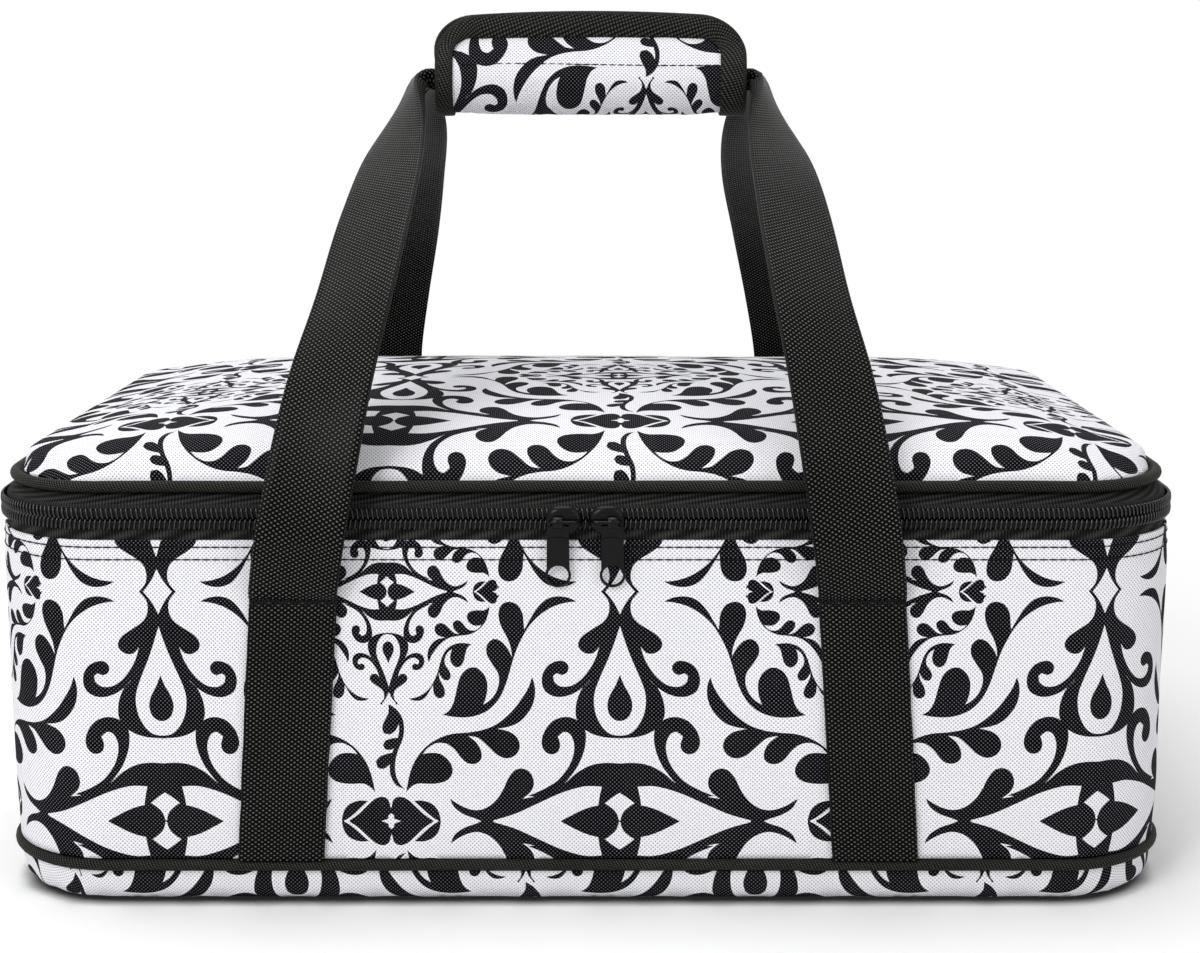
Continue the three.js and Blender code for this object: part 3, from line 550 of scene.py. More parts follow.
# ---- the print: a mirrored cell of a damask, in mm; a third number marks a point that stays sharp
damask = {
    "width": 79.8,
    "height": 81.5,
    "copyShare": 0.48,  # the same motifs stand again at this scale round the cell's far corner
    "grid": 6.0,
    "inkedFirst": (
        # almond frame with its curled end
        ((-1, -1, 1), (-1, 20.9, 1), (5, 21.2), (10, 20.2), (14.5, 17.6), (18.5, 14), (23, 11.6), (28.5, 9.2),
         (33.3, 8.2, 1), (30.5, 10.6), (29.3, 13.6), (30.1, 17), (32.6, 19), (35.6, 18.7), (38.2, 15.6), (40, 11.6),
         (42.5, 7.7), (46, 4.9), (50, 4), (54.5, 5.4), (58.8, 8.2, 1), (57.3, 5), (53.8, 2.4), (49.5, 0.8),
         (46, -1, 1)),
        # scroll that rises from the frame
        ((17.8, 14.8, 1), (14.2, 20), (11.9, 26), (11.4, 31.5), (12.6, 34.8), (15.5, 37), (19, 37.5), (22.8, 36),
         (25.7, 32.2), (26.6, 28), (25.2, 25), (22.8, 24.2), (20.7, 25.5), (20.2, 28), (21, 30.5, 1), (19, 32.2),
         (16.9, 31.5), (15.6, 28.8), (15.5, 25), (17.2, 20), (21.2, 14.8), (26.5, 11.4), (31.5, 9.2, 1),
         (24, 8.5, 1)),
        # vase with its shoulders, round the tear drop
        ((-1, 29.9, 1), (0, 29.9), (5, 30.3), (9, 31.4), (12.4, 33.4, 1), (14.6, 37), (14.9, 40.5), (14.1, 44.5),
         (12.4, 48), (10.2, 50.2), (9.2, 54), (7.9, 58), (6.9, 62.3, 1), (8.6, 60.2), (11, 59.8), (13.4, 61.3),
         (14, 63.6), (12.6, 66), (9.5, 68.3), (6, 70.6), (4.1, 73), (3.5, 76), (4.1, 78.8), (6.3, 81.5, 1),
         (6.3, 82.5, 1), (-1, 82.5, 1)),
        # upper scroll
        ((6.9, 62.3, 1), (8.2, 58), (10.4, 54), (13.2, 50.6), (16.5, 48.5), (20, 48.3), (22.2, 50), (22.5, 52),
         (21.4, 53, 1), (19.5, 52.3), (17.6, 53.4), (17.3, 55.6), (18.8, 57.2), (21, 57.3), (23.9, 56), (26, 53),
         (26.4, 49.6), (25.3, 46.6), (22.6, 44.9), (19.5, 44.6), (15.6, 45.8), (12.4, 48), (10.2, 50.3, 1),
         (8.6, 53.8), (7.5, 58)),
        # upper branch with three leaves
        ((14.5, 78, 1), (17, 79.3), (21, 79.9), (25, 78.7), (28.2, 75.4), (30.6, 71.4), (32.3, 68.3, 1),
         (32.5, 70.2), (32.9, 74), (34.7, 77), (37.6, 78), (40, 77), (41.2, 74.2), (40.5, 70), (38.2, 65.4),
         (37, 62), (36.7, 58.8, 1), (38, 61.5), (40.4, 64.3), (43.1, 65), (45.2, 63), (45.4, 59.8), (43.5, 56.2),
         (41.5, 53), (41.2, 49.5), (42.4, 45.9), (44.5, 43.3), (46.7, 41.9, 1), (45.7, 44.5), (45.2, 49),
         (46.4, 52.6), (49.2, 55), (52.2, 54.5), (54.6, 51.8), (56, 47), (57.1, 42.5), (58.8, 39.6), (61, 38.2, 1),
         (57, 37.5), (53, 37.3), (49, 38), (45, 39.9), (41.5, 43.5), (39, 48.5), (37.3, 54), (35.5, 60),
         (33.5, 64.6), (31, 69), (27.5, 72.9), (23, 76), (18.3, 77.6)),
        # lower branch with its crescent and drops
        ((29.8, 51.5, 1), (31, 48), (33.5, 43.8), (37, 39.3), (42, 35), (47, 32.9), (52, 32), (58, 31.4),
         (63, 29.6), (67.5, 26.4), (71, 21.8), (73, 16.8), (74.3, 10.5, 1), (72.5, 12.4), (70, 13.6), (65, 13.5),
         (60.6, 14.3), (58.3, 16.2), (57.7, 19), (59.1, 22), (62, 24.3), (65.4, 24.7), (68.2, 24.2, 1),
         (66.5, 26.3), (63.5, 28.1), (60, 28), (57, 26), (54.6, 22.8), (52.5, 21), (49.8, 20.7), (47.6, 22.4),
         (47.7, 25.6), (49.4, 28.6), (52, 30.7, 1), (48.5, 30), (45, 26.9), (42, 24), (38.6, 22.7), (35.6, 23.9),
         (34.1, 26.7), (34.8, 29.8), (37.5, 32.2), (41.8, 33.3, 1), (38, 34), (34.5, 35.5), (31.5, 38.5),
         (29.5, 42), (28.7, 46), (29, 49.5)),
        # bow: outer leaf, then its body
        ((62.2, -1, 1), (62.2, 0.8), (63.2, 4.2), (65.5, 6.5), (68.8, 7.5), (71.6, 7.3, 1), (69.5, 5.4), (67, 3),
         (64.4, 0.9), (63, 0.2, 1), (63, -1, 1)),
        ((64.8, -1, 1), (65, 0.3, 1), (68, 2.4), (71, 5.3), (74, 8), (76.8, 8.9), (78.9, 7.8), (79.5, 5.6),
         (79.9, 4.4, 1), (80.8, 4, 1), (80.8, -1, 1)),
    ),
    "bare": (
        ((-1, 10.9, 1), (0, 10.4, 1), (2.4, 8.8), (5, 6.6, 1), (2.2, 4.5), (0.3, 0.4, 1), (-1, -0.5, 1)),
        ((6, 12.6, 1), (12, 12.7), (20, 10.3), (28, 6.5), (36, 2.7), (43.5, 0.3, 1), (43.5, -1, 1), (7, -1, 1),
         (7.3, 5.5, 1), (6.8, 9)),
        ((-1, 82.5, 1), (4.9, 82.5, 1), (4.9, 81.5, 1), (2.9, 79), (1.4, 76.6), (0, 73.6, 1), (-1, 75, 1)),
        ((-1, 66, 1), (0, 69.5, 1), (1.9, 63.5), (3.9, 58), (6.4, 52), (8.2, 47), (8.7, 43), (7.9, 38), (5.6, 33.6),
         (3, 31.4), (0, 30.9), (-1, 30.9, 1)),
        ((76.3, -0.8, 1), (76.3, 0, 1), (78.3, 0.7), (79, 1.1), (79.8, 2.9, 1), (80.8, 2, 1), (80.8, -0.8, 1)),
    ),
    "inkedLast": (
        ((0.3, -1, 1), (0.4, 1.2), (1.6, 3.9), (4.4, 5.8), (8, 5.7), (13, 4), (20, 0.15, 1), (20, -1, 1)),
        ((-1, 49, 1), (0, 52.4, 1), (1.5, 48.6), (3.4, 45), (4.2, 41.5), (3.3, 38), (1.3, 36.3), (0, 36.1),
         (-1, 36.2, 1)),
    ),
    # a sprig that leans to one side, so it isn't mirrored
    "sprig": (
        ((79.6, 42, 1), (82.2, 40.4), (84.3, 37.3), (85, 33.5), (84.4, 29.5), (82.7, 25.5), (81.6, 21), (81.7, 17),
         (83, 13.6), (84.9, 11.6, 1), (82, 12.8), (80.1, 15.8), (79.6, 19.5), (80.3, 24), (81.9, 28), (83.1, 32),
         (83, 35.5), (81.5, 38.8)),
        ((79.6, 42, 1), (79.5, 39), (78, 36), (77.2, 33.6), (78, 31.5), (80, 31.2), (82, 32.8), (83.2, 35.2, 1),
         (81.8, 38.5)),
        ((84, 30, 1), (80.8, 29.9), (78.2, 29), (77.3, 27.4), (78.2, 25.9), (80.3, 25.8), (82.4, 27.2)),
        ((81.8, 25, 1), (79, 24.4), (76.3, 23.4), (74.7, 21.4), (75.3, 19.4), (77.4, 18.9), (79.6, 20.4),
         (81, 22.6, 1)),
    ),
}


def motifOutline(points, share=1.0):  # points round a motif, about 1.4 mm apart
    count, out = len(points), []
    for i in range(count):
        a, b, c, d = points[i - 1], points[i], points[(i + 1) % count], points[(i + 2) % count]
        if len(b) > 2:
            a = b
        if len(c) > 2:
            d = c
        length = math.dist(b[:2], c[:2]) * share
        steps = 1 if len(b) > 2 and len(c) > 2 else max(1, round(length / (1.4 if share == 1 else 0.9)))
        out += [curvePoint(a, b[:2], c, d, step / steps) for step in range(steps)]
    return out


def sunwise(outline):  # the triangulation wants every outline to turn the same way
    area = sum(p[0] * q[1] - q[0] * p[1] for p, q in zip(outline, outline[1:] + outline[:1]))
    return outline if area > 0 else outline[::-1]


def printTile():  # one repeat of the cloth, flat, with the ink as its own faces
    w, h, k = damask["width"], damask["height"], damask["copyShare"]
    layers = []
    for ink, key in ((1, "inkedFirst"), (0, "bare"), (1, "inkedLast")):
        for points in damask[key]:
            whole, small = motifOutline(points), motifOutline(points, k)
            layers += [(ink, whole), (ink, [(2 * w - x, y) for x, y in whole])]
            layers += [(ink, [(w + way * k * x, h - k * y) for x, y in small]) for way in (-1, 1)]
    layers += [(1, motifOutline(points)) for points in damask["sprig"]]
    corners, faces = [], []
    for ink, outline in [(0, [(0, 0), (2 * w, 0), (2 * w, h), (0, h)])] + layers:
        faces.append(list(range(len(corners), len(corners) + len(outline))))
        corners += [Vector(p) for p in sunwise(outline)]
    inks = [0] + [ink for ink, outline in layers]
    columns, rows = round(2 * w / damask["grid"]), round(h / damask["grid"])
    for i in range(columns + 1):
        for j in range(rows + 1):
            corners.append(Vector((2 * w * i / columns, h * j / rows)))
    points, _, triangles, _, _, owners = geometry.delaunay_2d_cdt(corners, [], faces, 0, 1e-4)
    bm = bmesh.new()
    verts = [bm.verts.new((p.x, p.y, 0)) for p in points]
    for triangle, owner in zip(triangles, owners):
        if 0 in owner:
            face = bm.faces.new([verts[i] for i in triangle])
            face.material_index = inks[max(owner)]
    loose = [vert for vert in bm.verts if not vert.link_faces]
    bmesh.ops.delete(bm, geom=loose, context="VERTS")
    bmesh.ops.recalc_face_normals(bm, faces=bm.faces)
    if next(iter(bm.faces)).normal.z < 0:
        bmesh.ops.reverse_faces(bm, faces=bm.faces)
    mesh = bpy.data.meshes.new("damaskRepeat")
    bm.to_mesh(mesh)
    bm.free()
    return mesh


repeat = printTile()
print("print repeat:", len(repeat.polygons), "faces")


def printedCloth(low, high, origin, cuts=()):
    # the repeat laid over a rectangle and trimmed to it, and to cuts: (point, outward direction) pairs
    w, h = 2 * damask["width"], damask["height"]
    bm = bmesh.new()
    for i in range(math.floor((low[0] - origin[0]) / w), math.ceil((high[0] - origin[0]) / w)):
        for j in range(math.floor((low[1] - origin[1]) / h), math.ceil((high[1] - origin[1]) / h)):
            tile = repeat.copy()
            if j % 2:
                tile.transform(Matrix.Translation((0, h, 0)) @ Matrix.Scale(-1, 4, (0, 1, 0)))
                tile.flip_normals()
            tile.transform(Matrix.Translation((origin[0] + i * w, origin[1] + j * h, 0)))
            bm.from_mesh(tile)
            bpy.data.meshes.remove(tile)
    bmesh.ops.remove_doubles(bm, verts=bm.verts, dist=1e-3)
    edges = [((low[0], 0), (-1, 0)), ((high[0], 0), (1, 0)), ((0, low[1]), (0, -1)), ((0, high[1]), (0, 1))]
    for point, direction in edges + list(cuts):
        bmesh.ops.bisect_plane(bm, geom=everything(bm), dist=1e-4, plane_co=(*point, 0), plane_no=(*direction, 0),
                               clear_outer=True)
    threads = bm.loops.layers.uv.new("cloth")
    for face in bm.faces:
        for loop in face.loops:
            loop[threads].uv = (loop.vert.co.x / 1000, loop.vert.co.y / 1000)
    return bm


def layCloth(bm, place):  # from the flat cloth to its place on the carrier
    for vert in bm.verts:
        vert.co = place(vert.co.x, vert.co.y)
    return bm


def roundCuts(halfX, halfY, radius, steps=7):  # trims the corners of a rectangle round
    cuts = []
    for signX in (-1, 1):
        for signY in (-1, 1):
            for step in range(1, steps):
                a = math.pi / 2 * step / steps
                direction = (signX * math.cos(a), signY * math.sin(a))
                cuts.append(((signX * (halfX - radius) + radius * direction[0],
                              signY * (halfY - radius) + radius * direction[1]), direction))
    return cuts


# ---- the tub: printed wall and bottom, foam, liner, bindings
wallPrint = {"axis": 12.2, "line": 31.0, "seamAt": 563.0, "hem": 0.8}
printDrift = ((0,), (2.4,), (-0.7,), (5.2,), (0,))  # the cloth was pulled a little sideways in sewing: mm, each 150 mm


def makeWall():
    seam = wallPrint["seamAt"]  # the cloth's two ends meet under the right strap on the back
    bm = printedCloth((seam - perimeter, box["wallFoot"]), (seam, box["wallTop"]),
                      (wallPrint["axis"], wallPrint["line"]))
    layCloth(bm, lambda s, z: onWall(s + along(printDrift, s / 600 + 0.5)[0], puff(s, z), z))
    for vert in hemVerts(bm):
        inwards = Vector((vert.co.x / box["halfX"], vert.co.y / box["halfY"], 0)).normalized()
        vert.co -= inwards * wallPrint["hem"] / 1000
    wall = finishPiece("printedWall", bm, [clothWhite, clothInk], "printed_cloth", "tub", ["outer_wall"])
    height = box["wallTop"] - box["wallFoot"]
    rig.sheet(wall, flat=(perimeter / 1000, height / 1000), held="stretched", rests_on=["wall_foam"])


bottom = {"edge": 0.6, "round": 20.0, "seam": 12.5, "full": 4.0, "axis": 59.0, "line": -107.0}


def bottomProfile():  # how the bottom turns up to its seam, as (reach, rise), fuller than a quarter round
    reach, rise, power = bottom["round"] - bottom["edge"], bottom["seam"], 2 / bottom["full"]
    points = [(0.0, 0.0)]
    for step in range(1, 41):
        a = math.pi / 2 * (step / 40) ** 1.5
        points.append((reach * math.sin(a) ** power, rise * (1 - max(0.0, math.cos(a)) ** power)))
    return points, runningLengths(points, 2)


def makeBottom():
    profile, lengths = bottomProfile()
    wrap = lengths[-1]  # the flat cut reaches further out than the bottom by what goes up round its edge
    halfX, halfY = box["halfX"] - bottom["round"] + wrap, box["halfY"] - bottom["round"] + wrap
    radius = box["corner"] - bottom["round"] + wrap
    bm = printedCloth((-halfX, -halfY), (halfX, halfY), (bottom["axis"], bottom["line"]),
                      roundCuts(halfX, halfY, radius))
    flatRadius = box["corner"] - bottom["round"]

    def place(x, y):
        dx, dy = max(abs(x) - straightX, 0), max(abs(y) - straightY, 0)
        away = math.hypot(dx, dy)
        if away <= flatRadius:
            return mm(x, y, 0)
        reach, rise = rowAt(profile, lengths, min(away - flatRadius, wrap))
        share = (flatRadius + reach) / away
        px, py = min(abs(x), straightX) + dx * share, min(abs(y), straightY) + dy * share
        return mm(math.copysign(px, x), math.copysign(py, y), rise)

    layCloth(bm, place)
    bmesh.ops.reverse_faces(bm, faces=bm.faces)
    panel = finishPiece("printedBottom", bm, [clothWhite, clothInk], "printed_cloth", "tub", ["bottom_panel"])
    area = (4 * halfX * halfY - (4 - math.pi) * radius ** 2) / 1e6
    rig.sheet(panel, flat=(2 * halfX / 1000, 2 * halfY / 1000), held="stretched", rests_on=["base_foam"], area=area)


def bandRound(name, steps, section, material, slotName, bodyName, nodes, start=None, end=None, wave=0.0):
    # a closed section of (out, z) points carried round the wall; with start and end it has two ends
    closed = start is None
    first, last = (-perimeter / 2, perimeter / 2) if closed else (start, end)
    count = len(section)

    def place(u, v):
        s = mix(first, last, u)
        out, z = section[round(v * count) % count]
        return onWall(s, out, z + wave * noise.noise(Vector((s * 0.02, 7.7, 0))))

    girth = runningLengths(section + section[:1], 2)[-1]
    bm = formedGrid(steps, count, place, (last - first, girth), capped=not closed)
    return finishPiece(name, bm, [material], slotName, bodyName, nodes)


def softSection(inner, outer, low, high, corner=0.3):  # four bounds with small rounded corners
    points = []
    for x, z, a in ((outer, low, -90), (outer, high, 0), (inner, high, 90), (inner, low, 180)):
        cx, cz = x - math.copysign(corner, x - (inner + outer) / 2), z - math.copysign(corner, z - (low + high) / 2)
        for step in range(3):
            angle = math.radians(a + 45 * step)
            points.append((cx + corner * math.cos(angle), cz + corner * math.sin(angle)))
    return points


def cordSection(z, inset=0.0, radius=2.0, flange=5.5, half=0.4, sides=14):  # piping: a cord and its sewn-in flange
    split = math.asin(half / radius)
    points = []
    for side in range(sides + 1):
        angle = mix(split - math.pi, math.pi - split, side / sides)
        points.append((radius * math.cos(angle) - inset, z + radius * math.sin(angle)))
    return points + [(-flange - inset, z + half), (-flange - inset, z - half)]


def shellRound(name, rings, material, slotName, bodyName, nodes, steps=200, padded=False, domed=False):
    # rings of (share, out, z) from the middle of one face to the middle of the other, all round the box
    count = len(rings) - 1

    def place(u, v):
        share, out, z = rings[round(v * count)]
        point = onWall(mix(-perimeter / 2, perimeter / 2, u), out, z)
        rise = crown(share, point.y * share * 1000) / 1000 if domed else 0
        return Vector((point.x * share, point.y * share, point.z + rise))

    bm = formedGrid(steps, count, place, (perimeter, 300))
    piece = finishPiece(name, bm, [material], slotName, bodyName, nodes)
    if padded:
        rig.padded(piece, fill=0.9)


def boardRings(inset, low, high, bend=1.2, shares=(0, 0.35, 0.7, 0.92)):  # a flat board with rounded edges
    top = [(share, -inset, high) for share in shares]
    top += [(1, -inset - bend, high), (1, -inset - bend * 0.3, high - bend * 0.3)]
    edge = [(1, -inset, high - bend), (1, -inset, low + bend)]
    return top + edge + [(share, out, low + high - z) for share, out, z in reversed(top)]


tub = {
    "piping": 15.0, "rim": (-8, -2.1, 129.3, 132.0, 0.8), "tape": (-1.8, -1.1, 119.8, 136.8, 0.25),
    "base": (20.4, 1.1, 6.1),
    "foam": [(-7, 18), (-6.4, 17.4), (-1.7, 17.4), (-1.1, 18), (-1.1, 119.2), (-2.1, 119.5), (-2.1, 128.2),
             (-2.8, 128.9), (-6.3, 128.9), (-7, 128.2)],
    "lining": [(0, -14, 7.1), (0.3, -14, 7.1), (0.6, -14, 7.1), (0.82, -14, 7.1), (0.95, -14, 7.1), (1, -13, 7.2),
               (1, -10, 8.2), (1, -8.4, 10), (1, -8, 13)] + [(1, -8, z) for z in (*range(20, 129, 9), 129)],
    "film": 0.7}


def makeTubPieces():
    bandRound("floorPiping", 300, cordSection(tub["piping"]), bindingBlack, "black_tape", "tub", ["bottom_piping"],
              wave=0.35)
    bandRound("rimBinding", 240, softSection(*tub["rim"]), bindingBlack, "black_tape", "tub", ["tub_rim_binding"])
    bandRound("lowerZipTape", 300, softSection(*tub["tape"]), tapeBlack, "black_tape", "tub", ["lower_zip_tape"],
              -zipEnd, zipEnd)
    foam = bandRound("wallPadding", 160, tub["foam"], whiteFoam, "foam", "tub", ["wall_foam"])
    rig.padded(foam, fill=0.9)
    shellRound("basePadding", boardRings(*tub["base"]), whiteFoam, "foam", "tub", ["base_foam"], padded=True)
    inside, film = tub["lining"], tub["film"]
    outside = [(share, max(out + film, -13.4), z - film if z < 13 else z) for share, out, z in reversed(inside)]
    shellRound("tubLining", inside + outside, greyFilm, "liner", "tub", ["tub_liner"], steps=280)


lidForm = {"seam": 4.5, "inset": 6.8, "edge": 149.4, "crown": 19.5, "bowl": 0.62, "corner": 15.0, "lean": 4.0,
           "extra": 3.5, "soft": 0.7, "swell": 6.5, "swellRim": 0.92, "swellSide": (0.8, 0.97),
           "swellFront": (-128, -95), "foamInset": 11.1, "cloth": 0.8, "foam": 5.0, "film": 0.7, "gap": 0.3,
           "piping": 147.9, "binding": (-10.7, -6.6, 141.8, 147.2, 0.8),
           "tape": [(-1.8, 138.4), (-1.1, 138.4), (-1.1, 140.6), (-1.3, 141.6), (-1.9, 142.3), (-5.6, 145.9),
                    (-6.3, 145.9), (-2.6, 142.3), (-2.0, 141.6), (-1.8, 140.6)]}
lidPrint = {"axis": -67.6, "line": -107.0}


def lidShare(x, y, halfX, halfY, radius):  # 0 in the middle of a rounded rectangle, 1 on its edge
    x, y = abs(x), abs(y)
    share = max(x / halfX, y / halfY, 1e-9)
    coreX, coreY = halfX - radius, halfY - radius
    if x / share > coreX and y / share > coreY:
        a, b = x * x + y * y, x * coreX + y * coreY
        share = a / (b + math.sqrt(max(0, b * b - a * (coreX ** 2 + coreY ** 2 - radius ** 2))))
    return share


def crown(share, y=0.0):  # steep near the seam, nearly flat in the middle, and fuller towards the front
    share = min(1, share)
    edge = share ** lidForm["corner"]
    rise = lidForm["crown"] * (1 - lidForm["bowl"] * share ** 2 - (1 - lidForm["bowl"]) * edge)
    return rise - lidForm["lean"] * y / (box["halfY"] - lidForm["inset"]) * (1 - edge)


def domeShares(half=150.0, steps=200):  # rows of (out, rise, share of the plan), and how far along the cloth each lies
    rows = [(half * step / steps, crown(step / steps), step / steps) for step in range(steps + 1)]
    lengths = runningLengths(rows, 2)
    return rows, [length / lengths[-1] for length in lengths]


def makeLid():
    inset, extra = lidForm["inset"], lidForm["extra"]
    halfX, halfY, radius = box["halfX"] - inset, box["halfY"] - inset, box["corner"] - inset
    flatX, flatY, flatRadius = halfX + extra, halfY + extra, radius + extra
    rows, lengths = domeShares()
    bm = printedCloth((-flatX, -flatY), (flatX, flatY), (lidPrint["axis"], lidPrint["line"]),
                      roundCuts(flatX, flatY, flatRadius))
    for edge, direction in ((flatX, (1, 0, 0)), (flatY, (0, 1, 0))):  # closer rows where the cloth turns down
        for step in (-5, -4, -3, -2, -1, 1, 2, 3, 4, 5):
            at = math.copysign(edge - 3.0 * abs(step), step)
            bmesh.ops.bisect_plane(bm, geom=everything(bm), dist=1e-4, plane_co=[at * axis for axis in direction],
                                   plane_no=direction)

    def place(x, y):
        flat = min(1.0, lidShare(x, y, flatX, flatY, flatRadius))
        share = rowAt(rows, lengths, flat)[2]
        x, y = x * halfX / flatX * share / flat, y * halfY / flatY * share / flat
        rim = min(1, max(0, (share - lidForm["swellRim"]) / (1 - lidForm["swellRim"])))
        side = smoothStep(*lidForm["swellSide"], abs(x) / halfX) * smoothStep(*lidForm["swellFront"], y)
        side *= math.sin(math.pi * rim)
        x += math.copysign(lidForm["swell"] * side, x)  # the padding hides the piping along the two sides
        soft = smoothStep(0, 0.2, 1 - share) * lidForm["soft"] * noise.noise(Vector((x * 0.014, y * 0.014, 5.3)))
        return mm(x, y, lidForm["edge"] + crown(share, y) + soft)

    layCloth(bm, place)
    bmesh.ops.translate(bm, vec=(0, 0, -lidForm["cloth"] / 1000), verts=hemVerts(bm))
    cover = finishPiece("printedLid", bm, [clothWhite, clothInk], "printed_cloth", "lid", ["lid_panel"])
    area = (4 * flatX * flatY - (4 - math.pi) * flatRadius ** 2) / 1e6
    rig.sheet(cover, flat=(2 * flatX / 1000, 2 * flatY / 1000), held="stretched", rests_on=["lidPadding"], area=area)


def domeRings(inset, high, thick):
    shares = (0, 0.15, 0.3, 0.45, 0.6, 0.72, 0.82, 0.88, 0.92, 0.95, 0.97, 0.985, 1)
    return [(share, -inset, high) for share in shares] + [(share, -inset, high - thick) for share in reversed(shares)]


def makeLidPieces():
    foamTop = lidForm["edge"] - lidForm["cloth"] - lidForm["gap"]
    filmTop = foamTop - lidForm["foam"] - lidForm["gap"]
    inset = lidForm["foamInset"]
    shellRound("lidPadding", domeRings(inset, foamTop, lidForm["foam"]), whiteFoam, "foam", "lid", ["lid_foam"],
               padded=True, domed=True)
    shellRound("lidLining", domeRings(inset, filmTop, lidForm["film"]), greyFilm, "liner", "lid", ["lid_liner"],
               domed=True)
    bandRound("lidPiping", 300, cordSection(lidForm["piping"], lidForm["seam"]), bindingBlack, "black_tape", "lid",
              ["lid_piping"], wave=0.3)
    bandRound("lidSeamBinding", 240, softSection(*lidForm["binding"]), bindingBlack, "black_tape", "lid",
              ["lid_seam_binding"])
    bandRound("upperZipTape", 300, lidForm["tape"], tapeBlack, "black_tape", "lid", ["upper_zip_tape"],
              -zipEnd, zipEnd)


# ---- the zip: two nylon coils whose heads stand between each other
coil = {"pitch": 1.685, "wire": 0.42, "front": 1.15, "back": -0.95, "steps": 10, "sides": 5, "reach": 0.85,
        "lower": (133.7, 137.1), "upper": (138.1, 141.5)}


def makeCoil(name, low, high, towards, phase, bodyName, node):
    turns = round(2 * zipEnd / coil["pitch"])
    wire = coil["wire"]
    low, high = (low, high + coil["reach"]) if towards > 0 else (low - coil["reach"], high)
    middle, half = (low + high) / 2, (high - low) / 2 - wire
    depth, halfDepth = (coil["front"] + coil["back"]) / 2, (coil["front"] - coil["back"]) / 2 - wire

    def place(u, v):
        angle, wireAngle = 2 * math.pi * (u * turns + phase), 2 * math.pi * v
        c, d = math.cos(angle), math.sin(angle)
        squareness = 1 / max(abs(c), abs(d)) ** 0.45  # nearer a rounded square than a circle
        swell = wire * math.cos(wireAngle)
        s = mix(-zipEnd, zipEnd, u) + wire * math.sin(wireAngle)
        out = depth + c * (halfDepth * min(squareness, 1.12) + swell)
        return onWall(s, out, middle + towards * d * (half * min(squareness, 1.1) + swell))

    bm = formedGrid(turns * coil["steps"], coil["sides"], place, (2 * zipEnd, 2.6))
    finishPiece(name, bm, [nylonCoil], "zip_coil", bodyName, [node])
    core = softSection(-0.35, 0.4, low + 2.2 * wire, high - 2.2 * wire, 0.3)  # the cord inside the coil's turns
    bandRound(name + "Cord", 300, core, blackThread, "black_tape", bodyName, (), -zipEnd, zipEnd)


hinge = {"foot": 119.8, "top": 145.9, "fromMiddle": 149.7, "outer": -1.1, "inner": -1.8, "leans": (140.5, 146.5)}


def makeHinge():  # one strip of tape at the back, sewn to tub and lid, that folds as the lid opens
    start, foot, top = perimeter / 2 - hinge["fromMiddle"], hinge["foot"], hinge["top"]

    def place(u, v):
        turn = round(v * 40)
        z = mix(foot, top, turn / 19) if turn < 20 else mix(top, foot, (turn - 20) / 20)
        lean = lidForm["seam"] * smoothStep(*hinge["leans"], z) * 1.02
        return onWall(mix(start, perimeter - start, u), hinge["outer" if turn < 20 else "inner"] - lean, z)

    bm = formedGrid(100, 40, place, (2 * hinge["fromMiddle"], 2 * (top - foot) + 1.4), capped=True)
    strip = finishPiece("backHingeTape", bm, [tapeBlack], "black_tape", None,
                        ["hinge_cloth_lower", "hinge_cloth_upper"])
    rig.blend(strip, "tub", "lid", start=(0, 0.1474, 0.1346), end=(0, 0.1474, 0.1406))


# ---- webbing: sewn to the wall up to the bar tacks, free above them
webbing = {"width": 30.0, "thick": 1.8, "foot": 102.9, "tack": 96.3, "frontShift": -2.6, "gripShift": 1.4,
           "gripHalf": 60.0, "tackHeight": 110.2, "bundle": (5.6, 8.0), "bundleHeight": 282.0, "bundleOffset": 3.1,
           "sewnFrom": 17.0, "proud": 1.05, "standOff": 146.2, "girth": 63.6}
# rise, way inwards, lean over the lid, share of the width kept, share gathered, share of the quarter turn
legShares = (
    (0, 0, 0, 1, 0, 0), (0.021, 0.01, -0.022, 1, 0, 0), (0.1, 0.07, -0.054, 1, 0, 0), (0.16, 0.12, -0.063, 1, 0, 0),
    (0.29, 0.21, -0.022, 1, 0, 0.03), (0.43, 0.285, 0.068, 1, 0, 0.14), (0.59, 0.41, 0.235, 1, 0, 0.31),
    (0.755, 0.55, 0.505, 0.97, 0, 0.42), (0.885, 0.67, 0.795, 0.8, 0.1, 0.66), (0.975, 0.79, 0.965, 0.25, 0.6, 0.91),
    (1, 0.9, 0.994, 0.03, 0.95, 0.98), (1, 1, 1, 0, 1, 1))
# how far each leg hangs inwards of that line, in mm
legSway = {
    (-1, -1): (0, 0, 0, 0, 0.4, 1.9, 3.3, 2.6, 1.5, 0.7, 0, 0),
    (-1, 1): (0, 0, 0, 0, 0.4, 1.9, 3.3, 2.2, 1.5, 0.7, 0, 0),
    (1, -1): (0, 0, -0.8, -2.4, -4.6, -3.0, -1.0, 0.2, 2.2, 1.0, 0, 0),
    (1, 1): (0, 0, -0.5, -1.4, -2.4, 0, 3.2, 6.4, 5.8, 2.4, 0, 0)}


def bandSection(steps=10):  # outline of a flat band, as (share of the half width, share of the half thickness)
    flat = [mix(-0.965, 0.965, i / steps) for i in range(steps + 1)]
    edge = [(0.99, -0.55), (0.99, 0.55)]
    return [(x, -1.0) for x in flat] + edge + [(x, 1.0) for x in reversed(flat)] + [(-a, -b) for a, b in edge]


def legShift(facing):  # the front handle is sewn on a little to the left
    return webbing["frontShift"] if facing < 0 else 0


def wallAt(x, facing):  # the way round the wall to x on its front or its back
    return x if facing < 0 else perimeter / 2 - x


